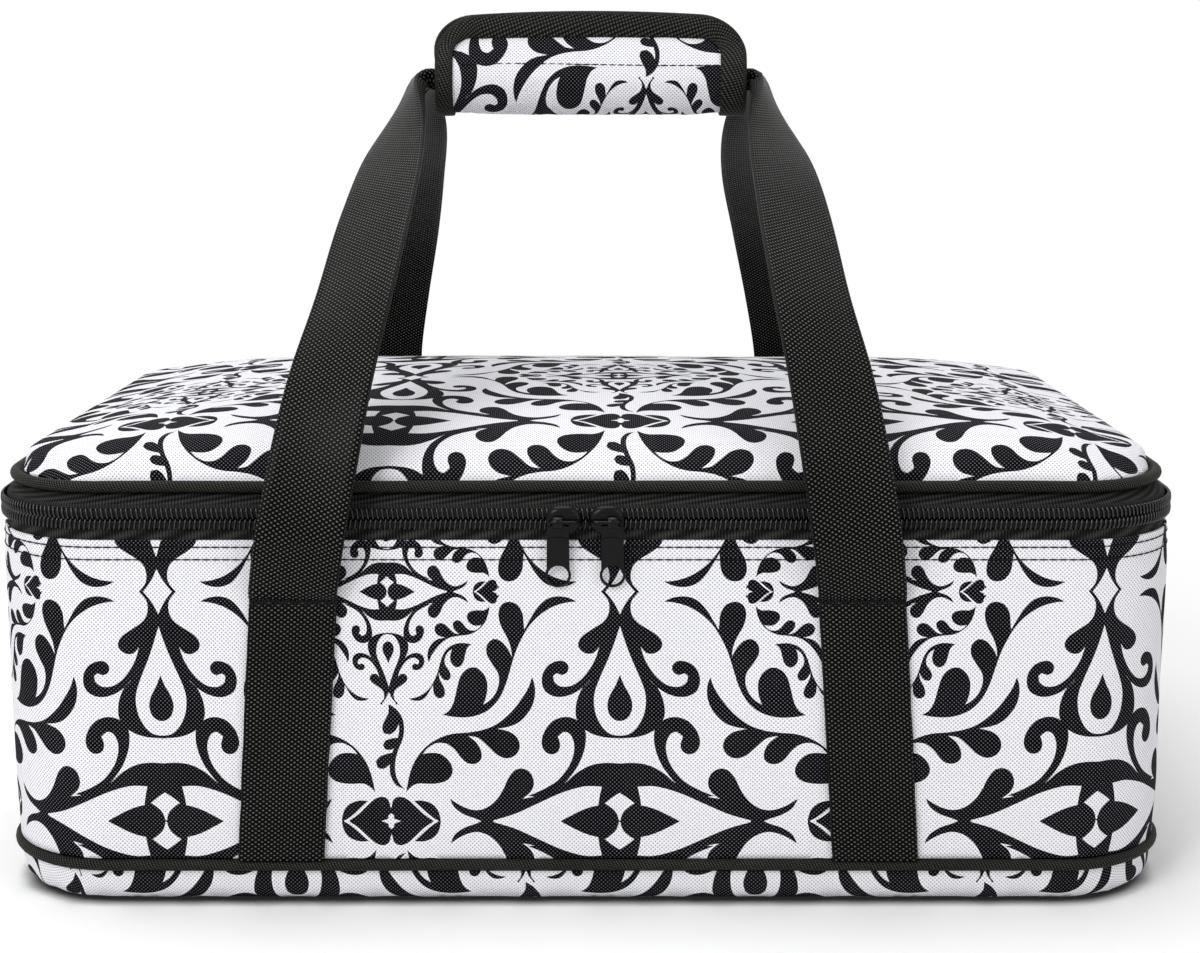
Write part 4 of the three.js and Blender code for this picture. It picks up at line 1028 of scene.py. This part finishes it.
def makeSewnStrap(name, side, facing, node):
    section = bandSection()

    def place(u, v):
        z = mix(webbing["sewnFrom"], webbing["tackHeight"], u)
        across, up = section[round(v * len(section)) % len(section)]
        x = legShift(facing) + side * mix(webbing["foot"], webbing["tack"], u) + across * webbing["width"] / 2
        x += 0.25 * noise.noise(Vector((z * 0.09, side * 9.0, facing * 5 + across)))
        s = wallAt(x, facing)
        return onWall(s, puff(s, z) + webbing["proud"] + up * webbing["thick"] / 2, z)

    sewn = webbing["tackHeight"] - webbing["sewnFrom"]
    bm = formedGrid(60, len(section), place, (sewn, webbing["girth"]), capped=True)
    strap = finishPiece(name, bm, [webbingBlack], "black_webbing", "tub", [node])
    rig.sheet(strap, flat=(0.030, 0.0934), held="stretched", rests_on=["printedWall"])


def makeHandle(name, facing, bodyName, node):
    wallY, gripY = facing * webbing["standOff"], facing * webbing["bundleOffset"]
    section = bandSection()
    samples = 360

    def leg(side):
        points = []
        first, last = legShift(facing) + side * webbing["tack"], webbing["gripShift"] + side * webbing["gripHalf"]
        for (rise, inward, lean, kept, gathered, turn), sway in zip(legShares, legSway[facing, side]):
            x = mix(first, last, inward)
            points.append((x - side * sway, mix(wallY, gripY, lean),
                           mix(webbing["tackHeight"], webbing["bundleHeight"], rise), kept, gathered, turn))
        return [along(points, i / samples) + [side] for i in range(samples + 1)]

    path = leg(-1) + leg(1)[::-1]
    lengths = runningLengths(path, 3)
    total = lengths[-1]
    steps = 420
    rings = []
    for step in range(steps + 1):
        distance = total * step / steps
        x, y, z, kept, gathered, turn, side = rowAt(path, lengths, distance)
        before, after = [rowAt(path, lengths, min(total, max(0, distance + way))) for way in (-1.5, 1.5)]
        travel = Vector(after[:3]) - Vector(before[:3])
        if step in (0, steps):
            travel = Vector((0, 0, -side))
        travel.normalize()
        quarterTurn = math.pi / 2 * min(1, max(0, turn))
        width = Vector((side * math.cos(quarterTurn), -facing * math.sin(quarterTurn), 0))
        width = (width - travel * width.dot(travel)).normalized()
        normal = travel.cross(width)
        kept, gathered = min(1, max(0, kept)), min(1, max(0, gathered))
        halfWidth = mix(webbing["bundle"][0], webbing["width"], kept) / 2
        halfThick = mix(webbing["thick"], webbing["bundle"][1], gathered) / 2
        free = smoothStep(0, 25, min(distance, total - distance))  # 0 at the bar tacks
        out = Vector((0, facing, 0)) * (1 - free) * puff(wallAt(x, facing), 110)
        wobble = 0.35 * noise.noise(Vector((distance * 0.02, facing * 3.0, 1.0))) * free
        ring = []
        for across, up in section:
            curl = 0.9 * (across * across - 0.33) * free * (1 - gathered)  # the band bows a little over its width
            point = Vector((x, y, z)) + out + width * across * halfWidth + normal * (up * halfThick + wobble + curl)
            ring.append(point / 1000)
        rings.append(ring)
    bm = ringGrid(rings, (total, webbing["girth"]))
    handle = finishPiece(name, bm, [webbingBlack], "black_webbing", bodyName, [node])
    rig.sheet(handle, flat=(0.030, total / 1000), held="hung", rests_on=["gripFrontCloth"])


# ---- the wrap grip: a padded sheet that folds under both bundles, in mm
grip = {"shift": 1.4, "half": 58.9, "fold": 12.0, "foldHeight": 281.3, "top": 308.0, "split": -40.0, "edge": 1.1,
        "corner": 16.5, "cloth": 0.8, "pad": 1.6, "slack": 0.85, "stitch": 21.5, "skew": 3.8, "bow": 2.4,
        "rise": 0.9, "sink": 0.25, "binding": 8.0, "frontAxis": -58.5, "backAxis": 30.0, "line": 15.5}
gripSides = ((0, 1), (0.22, 0.9), (0.42, 0.68), (0.6, 0.48), (0.8, 0.42), (1, 0.37))


def gripRun(facing):  # the outer face from its top edge down and round the fold: (y, z, normal y, normal z, length)
    gap = 0.6 / grip["fold"] if facing > 0 else 0
    start, end = math.radians(grip["split"]) + gap, (0 if facing > 0 else -math.pi)
    run = []
    for step in range(24):
        a = mix(start, end, step / 24)
        c, d = math.cos(a), math.sin(a)
        run.append((c * grip["fold"], grip["foldHeight"] + d * grip["fold"], c, d))
    points = [(facing * grip["fold"] * thick, mix(grip["foldHeight"], grip["top"], rise)) for rise, thick in gripSides]
    for step in range(31):
        y, z = along(points, step / 30)
        a, b = along(points, max(0, step / 30 - 0.01)), along(points, min(1, step / 30 + 0.01))
        dy, dz = b[0] - a[0], b[1] - a[1]
        size = math.hypot(dy, dz)
        run.append((y, z, facing * dz / size, -facing * dy / size))
    run.reverse()
    lengths = runningLengths(run, 2)

    def at(length):
        y, z, ny, nz = rowAt(run, lengths, length)
        size = math.hypot(ny, nz)
        return Vector((0, y, z)), Vector((0, ny / size, nz / size))

    return at, lengths[-1]


def onGrip(facing, x, y, z):  # the back flap was folded a little askew, and the top edge is bowed
    rise = max(0, z - grip["foldHeight"]) / (grip["top"] - grip["foldHeight"])
    skew = grip["skew"] * rise if facing > 0 else 0
    return mm(grip["shift"] + x - skew, y, z - grip["bow"] * rise ** 2 * (x / grip["half"]) ** 2)


def gripPuff(facing, x, length, total):  # the padding lifts the cloth between its seams
    seams = (grip["binding"], grip["stitch"], total + 6) if facing < 0 else (grip["binding"], total + 4)
    low = max([seam for seam in seams if seam <= length], default=0)
    high = min([seam for seam in seams if seam > length], default=total)
    rise = math.sin(math.pi * min(1, max(0, (length - low) / (high - low)))) ** 0.6
    ends = smoothStep(0, 14, grip["half"] - grip["binding"] - abs(x))
    return ends * (rise * grip["rise"] - (1 - rise) * grip["sink"])


def makeGripCloth(name, facing, bodyName, node):
    at, total = gripRun(facing)
    half, edge = grip["half"], grip["edge"]
    cuts = [((x, y - half - edge), way) for (x, y), way in roundCuts(half, half, grip["corner"]) if way[1] > 0]
    axis = grip["frontAxis" if facing < 0 else "backAxis"]
    bm = printedCloth((-half, -total), (half, -edge), (axis, grip["line"]), cuts)

    def place(x, y):
        point, normal = at(-y)
        point = point + normal * gripPuff(facing, x, -y, total)
        return onGrip(facing, x, point.y, point.z)

    layCloth(bm, place)
    if facing > 0:
        bmesh.ops.reverse_faces(bm, faces=bm.faces)
    for vert in hemVerts(bm):
        middle = Vector((vert.co.x, 0, grip["foldHeight"] / 1000 + max(0, vert.co.z - grip["foldHeight"] / 1000)))
        vert.co += (middle - vert.co).normalized() * grip["cloth"] / 1000
    cover = finishPiece(name, bm, [clothWhite, clothInk], "printed_cloth", bodyName, [node])
    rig.sheet(cover, flat=(2 * half / 1000, (total - edge) / 1000), held="folded",
             rests_on=["gripFrontPadding" if facing < 0 else "gripBackPadding"])


def gripPad(name, facing, low, high, outer, inner, half, material, slotName, bodyName, node, soft=0.3, filled=False):
    # a flat pad laid along the wrap between two lengths from its top edge
    at, total = gripRun(facing)
    high = min(high, total)

    def place(u, v):
        length = mix(low, high, u)
        turn = round(v * 24) % 24
        side = mix(-1, 1, turn / 11) if turn < 12 else mix(1, -1, (turn - 12) / 11)
        point, normal = at(length)
        rest = grip["corner"] - min(length - grip["edge"], grip["corner"])
        width = half - (grip["corner"] - math.sqrt(max(0, grip["corner"] ** 2 - rest ** 2)))
        rim = soft if (turn in (0, 11, 12, 23)) else 0
        point = point + normal * ((outer - rim) if turn < 12 else (inner + rim))
        return onGrip(facing, side * width, point.y, point.z)

    bm = formedGrid(24, 24, place, (high - low, 4 * half), capped=True)
    piece = finishPiece(name, bm, [material], slotName, bodyName, [node])
    if filled:
        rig.padded(piece, fill=0.7)


def makeGripBinding(name, facing, bodyName, node):
    at, total = gripRun(facing)
    half, edge, radius = grip["half"], grip["edge"], grip["corner"]
    straight, down = edge + radius, 26
    right = [(half - radius + radius * math.cos(a), straight - radius * math.sin(a), math.cos(a))
             for a in (math.pi / 2 * i / 12 for i in range(12, -1, -1))]
    right += [(half, mix(total, straight, i / down), 1.0) for i in range(down - 1, -1, -1)]
    left = [(-x, length, -sideways) for x, length, sideways in reversed(right)]
    stops = left + [(mix(radius - half, half - radius, i / 40), edge, 0.0) for i in range(1, 40)] + right
    inside = -(grip["cloth"] + grip["pad"] + grip["slack"])
    outer = [(-0.3, 0.4), (8.8, 0.45), (9, 0.85), (8.6, 1.25), (4, 1.35), (0.4, 1.35), (-0.7, 1.1), (-1.1, 0.5)]
    inner = [(-1.1, 0.2), (-0.8, -0.6), (0.2, -0.8), (3.8, -0.8), (4, -0.4), (3.8, 0), (0.6, 0), (-0.3, 0.3)]
    section = outer[3:] + [(across, inside + out) for across, out in inner] + outer[:3]
    rings = []
    for x, length, sideways in stops:
        point, normal = at(length)
        up = (point - at(length + (4.0 if abs(sideways) < 1 else 1.0))[0]).normalized()
        if abs(sideways) < 1:
            normal = Vector((0, facing * up.z, -facing * up.y))
        across = Vector((-sideways, 0, 0)) - up * math.sqrt(max(0, 1 - sideways ** 2))
        wave = 0.2 * noise.noise(Vector((x * 0.05, length * 0.05, facing)))
        narrow = 1 - 0.36 * max(0, -sideways)  # the left end's binding was sewn on narrower
        spots = [Vector((x, point.y, point.z)) + across * ((a + wave) * narrow if a > 5 else a) + normal * b
                 for a, b in section]
        rings.append([onGrip(facing, *spot) for spot in spots])
    girth = runningLengths(section + section[:1], 2)[-1]
    length = 2 * (total - straight) + math.pi * radius + 2 * (half - radius)
    bm = ringGrid(rings, (length, girth))
    finishPiece(name, bm, [bindingBlack], "black_tape", bodyName, [node])


# ---- metal: die-cast sliders and pulls, in mm; x from the nose outwards, y outwards from the wall, z up
slider = {"gap": 0.6, "length": 12.0, "half": 4.9, "row": 3.9, "split": 137.6, "plate": (1.55, 2.5), "dome": 0.9,
          "lip": 0.72, "lipFrom": 0.84, "back": (-3.0, -2.2), "post": (1.2, 4.2), "bar": 0.56,
          "bridge": ((1.9, 2.2), (1.95, 4.0), (2.5, 5.2), (3.7, 5.7), (6.5, 5.75), (9.2, 5.7), (10.6, 5.3),
                     (11.1, 4.2), (11.15, 2.2))}
pull = {"hinge": 9.2, "out": 5.7, "tilt": 9.0, "top": -1.4, "topHalf": 3.7, "endHalf": 4.3, "low": -19.3, "hole": 3.55,
        "plate": (-1.4, -0.6), "raised": 0.42, "step": -5.4, "knuckle": 1.55, "knuckleHalf": 1.7}


def slab(bm, outline, near, far, bevel):  # a flat outline of (x, z) thickened between two places and rounded
    verts = [bm.verts.new((x, near, z)) for x, z in outline]
    face = bm.faces.new(verts)
    fresh = onlyVerts(bmesh.ops.extrude_face_region(bm, geom=[face])["geom"])
    bmesh.ops.translate(bm, vec=(0, far - near, 0), verts=fresh)
    both = set(verts) | set(fresh)
    sharp = [edge for edge in bm.edges if edge.verts[0] in both and edge.verts[1] in both
             and edge.verts[0].co.y == edge.verts[1].co.y]
    bmesh.ops.bevel(bm, geom=sharp, offset=bevel, segments=3, profile=0.5, material=-1, affect="EDGES",
                    clamp_overlap=True)


def joinRings(bm, a, b):
    for i in range(len(a)):
        j = (i + 1) % len(a)
        bm.faces.new((a[i], a[j], b[j], b[i]))


def rod(bm, path, radius, sides=12):  # a round bar bent along (x, y) points
    rings = []
    for step in range(33):
        x, y = along(path, step / 32)
        ahead, behind = along(path, min(1, step / 32 + 0.01)), along(path, max(0, step / 32 - 0.01))
        travel = Vector((ahead[0] - behind[0], ahead[1] - behind[1], 0)).normalized()
        made = bmesh.ops.create_circle(bm, segments=sides, radius=radius)
        turn = Vector((0, 0, 1)).rotation_difference(travel).to_matrix()
        bmesh.ops.transform(bm, matrix=Matrix.Translation((x, y, 0)) @ turn.to_4x4(), verts=made["verts"])
        rings.append(made["verts"])
    for a, b in zip(rings, rings[1:]):
        joinRings(bm, a, b)
    bm.faces.new(rings[0][::-1])
    bm.faces.new(rings[-1])


def placeCasting(bm, name, bodyName, node, matrix):
    bmesh.ops.transform(bm, matrix=matrix, verts=bm.verts)
    bmesh.ops.recalc_face_normals(bm, faces=bm.faces)
    for edge in bm.edges:
        edge.smooth = not (edge.is_manifold and edge.calc_face_angle() > math.radians(50))
    finishPiece(name, bm, [blackEnamel], "black_metal", bodyName, [node])


def makeSlider(hand, side):
    bm = bmesh.new()
    half, length = slider["half"], slider["length"]
    near, far = slider["plate"]
    rings = []
    for share in (0.0, 0.25, 0.5, 0.7, 0.84, 0.93, 0.98, 1.0):  # the domed front plate, from its middle to its rim
        ring = []
        for step in range(40):
            a = 2 * math.pi * step / 40
            c, d = math.cos(a), math.sin(a)
            x = ((length / 2 - 1) * (c ** 0.62 if c > 0 else c) + max(0.0, c)) * share  # squarer at the tail
            z = half * math.copysign(abs(d) ** (0.75 if c > 0 else 1), d) * share
            rim = max(0, share - slider["lipFrom"]) / (1 - slider["lipFrom"])
            out = far + slider["dome"] * (1 - share ** 2) - slider["lip"] * rim
            ring.append(bm.verts.new((length / 2 + x * length / (length - 1), out, z)))
        rings.append(ring)
    inner = [bm.verts.new((vert.co.x, near - 0.5, vert.co.z * 0.97)) for vert in rings[-1]]
    rings.append(inner)
    for a, b in zip(rings[1:], rings[2:]):
        joinRings(bm, a, b)
    bmesh.ops.delete(bm, geom=rings[0], context="VERTS")
    bm.faces.new(rings[1])
    bm.faces.new(inner[::-1])
    row = slider["row"]
    nose = [(row - row * math.cos(a), row * math.sin(a)) for a in (math.pi * (i / 16 - 0.5) for i in range(17))]
    slab(bm, nose + [(length, row), (length, -row)], *slider["back"], 0.15)
    first, last = slider["post"]
    slab(bm, [(first, -0.2), (last, -0.2), (last, 0.2), (first, 0.2)], slider["back"][1] - 0.3, near, 0.05)
    rod(bm, slider["bridge"], slider["bar"])
    # mirrored for the left hand, and turned so that y points out of the front wall
    matrix = Matrix.Translation(mm(side * slider["gap"], -box["halfY"], slider["split"]))
    matrix = matrix @ Matrix.Diagonal((side / 1000, -1 / 1000, 1 / 1000, 1))
    placeCasting(bm, hand + "Slider", hand + "_slider", "slider_" + hand, matrix)


def makePull(hand, side):
    bm = bmesh.new()
    low, hole, end = pull["low"], pull["hole"], pull["endHalf"]
    near, far = pull["plate"]
    middle = (hole + end) / 2

    def sideAt(z):
        return mix(pull["topHalf"], end, (z - pull["top"]) / (low - pull["top"]))

    def outline(top, crown, inset):  # straight sides, a crowned top, and a hollow foot that follows the ring
        points = [(sideAt(top) - inset, top - crown)]
        points += [((sideAt(top) - inset) * math.cos(math.pi * i / 8), top - crown + crown * math.sin(math.pi * i / 8))
                   for i in range(1, 8)]
        points.append((inset - sideAt(top), top - crown))
        foot = [(middle * math.cos(math.pi * i / 14), low + middle * math.sin(math.pi * i / 14)) for i in range(15)]
        return points + [(x + math.copysign(inset, -x) if abs(x) > 3 else x, z) for x, z in foot[::-1]]

    slab(bm, outline(pull["top"], 0.5, 0.0), near, far, 0.2)
    slab(bm, outline(pull["step"], 1.2, 0.15), far - 0.1, far + pull["raised"], 0.22)
    # the ring: a small round section spun about the middle of the hole
    made = bmesh.ops.create_circle(bm, segments=10, radius=(end - hole) / 2 + 0.12)
    bmesh.ops.scale(bm, vec=(1, 1.35, 1), verts=made["verts"])
    bmesh.ops.translate(bm, vec=(middle, (near + far) / 2 + 0.1, low), verts=made["verts"])
    edges = list({edge for vert in made["verts"] for edge in vert.link_edges})
    bmesh.ops.spin(bm, geom=made["verts"] + edges, cent=(0, 0, low), axis=(0, 1, 0), angle=2 * math.pi, steps=40,
                   use_merge=True)
    # the loop that holds the bridge: a rounded strip spun about the hinge
    wide, loop = pull["knuckleHalf"], pull["knuckle"]
    strip = [(-wide, loop - 0.3), (0.3 - wide, loop - 0.4), (wide - 0.3, loop - 0.4), (wide, loop - 0.3),
             (wide, loop + 0.15), (wide - 0.3, loop + 0.4), (0.3 - wide, loop + 0.4), (-wide, loop + 0.15)]
    verts = [bm.verts.new((x, y, 0)) for x, y in strip]
    edges = [bm.edges.new((verts[i - 1], verts[i])) for i in range(len(verts))]
    bmesh.ops.spin(bm, geom=verts + edges, cent=(0, 0, 0), axis=(1, 0, 0), angle=2 * math.pi, steps=32, use_merge=True)
    matrix = Matrix.Translation(mm(side * pull["hinge"], -box["halfY"] - pull["out"], slider["split"]))
    matrix = matrix @ Matrix.Rotation(math.radians(pull["tilt"]), 4, "X")
    matrix = matrix @ Matrix.Diagonal((1 / 1000, -1 / 1000, 1 / 1000, 1))
    placeCasting(bm, hand + "Pull", hand + "_pull", "pull_" + hand, matrix)


# ---- stitches: short capsules of thread, half sunk in the cloth
def stitchRow(name, count, place, length, thick, bodyName, slotName="black_tape"):
    # one capsule doubled until the row is full, 10 apart; place(i) gives its point, its direction and the way out
    bm = bmesh.new()
    bmesh.ops.create_uvsphere(bm, u_segments=6, v_segments=4, radius=0.5)
    made = 1
    while made < count:
        copy = bmesh.ops.duplicate(bm, geom=everything(bm))["geom"]
        bmesh.ops.translate(bm, vec=(10 * made, 0, 0), verts=onlyVerts(copy))
        made *= 2
    bmesh.ops.delete(bm, geom=[vert for vert in bm.verts if vert.co.x > 10 * count - 5], context="VERTS")
    places = [place(i) for i in range(count)]
    for vert in bm.verts:
        i = round(vert.co.x / 10)
        point, direction, out = places[i]
        side = out.cross(direction).normalized()
        local = side * ((vert.co.x - 10 * i) * thick) + out * (vert.co.y * thick) + direction * (vert.co.z * length)
        vert.co = point + local / 1000
    bmesh.ops.recalc_face_normals(bm, faces=bm.faces)
    return finishPiece(name, bm, [blackThread], slotName, bodyName)


stitches = {"gap": 3.33, "rows": (("upperTopStitch", 127.9), ("lowerTopStitch", 123.6)), "proud": 0.08,
            "tackCount": 36, "tackHalf": 14.4, "tackHeight": 109.6, "tackProud": 2.05, "gripGap": 3.3}


def makeStitches():
    count, proud = round(perimeter / stitches["gap"]), stitches["proud"]
    for name, height in stitches["rows"]:
        def place(i, z=height):
            s = -perimeter / 2 + (i + 0.5) * perimeter / count
            point, ahead = onWall(s, puff(s, z) + proud, z), onWall(s + 1, puff(s, z) + proud, z)
            return point, (ahead - point).normalized(), Vector((*around(s)[2:], 0))
        stitchRow(name, count, place, 3.7, 0.6, "tub", "printed_cloth")
    tacks = stitches["tackCount"]
    for side in (-1, 1):
        for facing in (-1, 1):
            name = ("front" if facing < 0 else "back") + ("Left" if side < 0 else "Right") + "BarTack"

            def place(i, side=side, facing=facing):
                x = legShift(facing) + side * webbing["tack"] + stitches["tackHalf"] * mix(-1, 1, i / (tacks - 1))
                s = wallAt(x, facing)
                point = onWall(s, puff(s, 110) + stitches["tackProud"], stitches["tackHeight"])
                lean = 0.28 if i % 2 else -0.28
                return point, Vector((lean, 0, 1)).normalized(), Vector((0, facing, 0))
            stitchRow(name, tacks, place, 4.2, 0.75, "tub", "black_webbing")
    at, _ = gripRun(-1)
    reach = grip["half"] - 9
    spots = round(2 * reach / stitches["gripGap"])

    def gripPlace(i):
        x = reach * mix(-1, 1, (i + 0.5) / spots)
        point, normal = at(grip["stitch"] + 0.4 * math.sin(x * 0.05))
        return onGrip(-1, x, point.y, point.z), Vector((1, 0, 0)), Vector((0, normal.y, normal.z))
    stitchRow("gripStitch", spots, gripPlace, 3.6, 0.62, "front_handle", "printed_cloth")


makeWall()
makeBottom()
makeTubPieces()
print("tub pieces made")
makeLid()
makeLidPieces()
print("lid pieces made")
makeCoil("lowerCoil", *coil["lower"], 1, 0.0, "tub", "lower_zip_coil")
makeCoil("upperCoil", *coil["upper"], -1, 0.5, "lid", "upper_zip_coil")
makeHinge()
print("zip and hinge made")
for facing, end in ((-1, "front"), (1, "back")):
    for side, hand in ((-1, "left"), (1, "right")):
        makeSewnStrap(end + hand.title() + "Sewn", side, facing, end + "_strap_" + hand + "_sewn")
makeGripCloth("gripFrontCloth", -1, "front_handle", "grip_front_cloth")
makeGripCloth("gripBackCloth", 1, "grip_flap", "grip_back_cloth")
for facing, end, bodyName in ((-1, "front", "front_handle"), (1, "back", "grip_flap")):
    title = end.title()
    gripPad("grip" + title + "Padding", facing, 1.4, 27.8, -1.1, -2.7, grip["half"] - 0.3, whiteFoam, "foam", bodyName,
            "grip_" + end + "_padding", filled=True)
    makeGripBinding("grip" + title + "Binding", facing, bodyName, "grip_" + end + "_binding")
    strip = "hook" if facing < 0 else "loop"
    gripPad("grip" + strip.title() + "Strip", facing, 5.4, 16.4, -3.0, -4.6, grip["half"] - 12, tapeBlack,
            "black_tape", bodyName, "grip_" + strip + "_strip")
makeHandle("frontHandle", -1, "front_handle", "front_handle_webbing")
makeHandle("backHandle", 1, "back_handle", "back_handle_webbing")
print("handles and grip made")
for hand, side in (("left", -1), ("right", 1)):
    makeSlider(hand, side)
    makePull(hand, side)
makeStitches()
print("metal and stitches made")
size = open("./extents.json", "w")
for box3 in (cadBox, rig.bounds()):
    size.write(str([[round(float(v), 5) for v in corner] for corner in box3]) + "\n")
size.close()
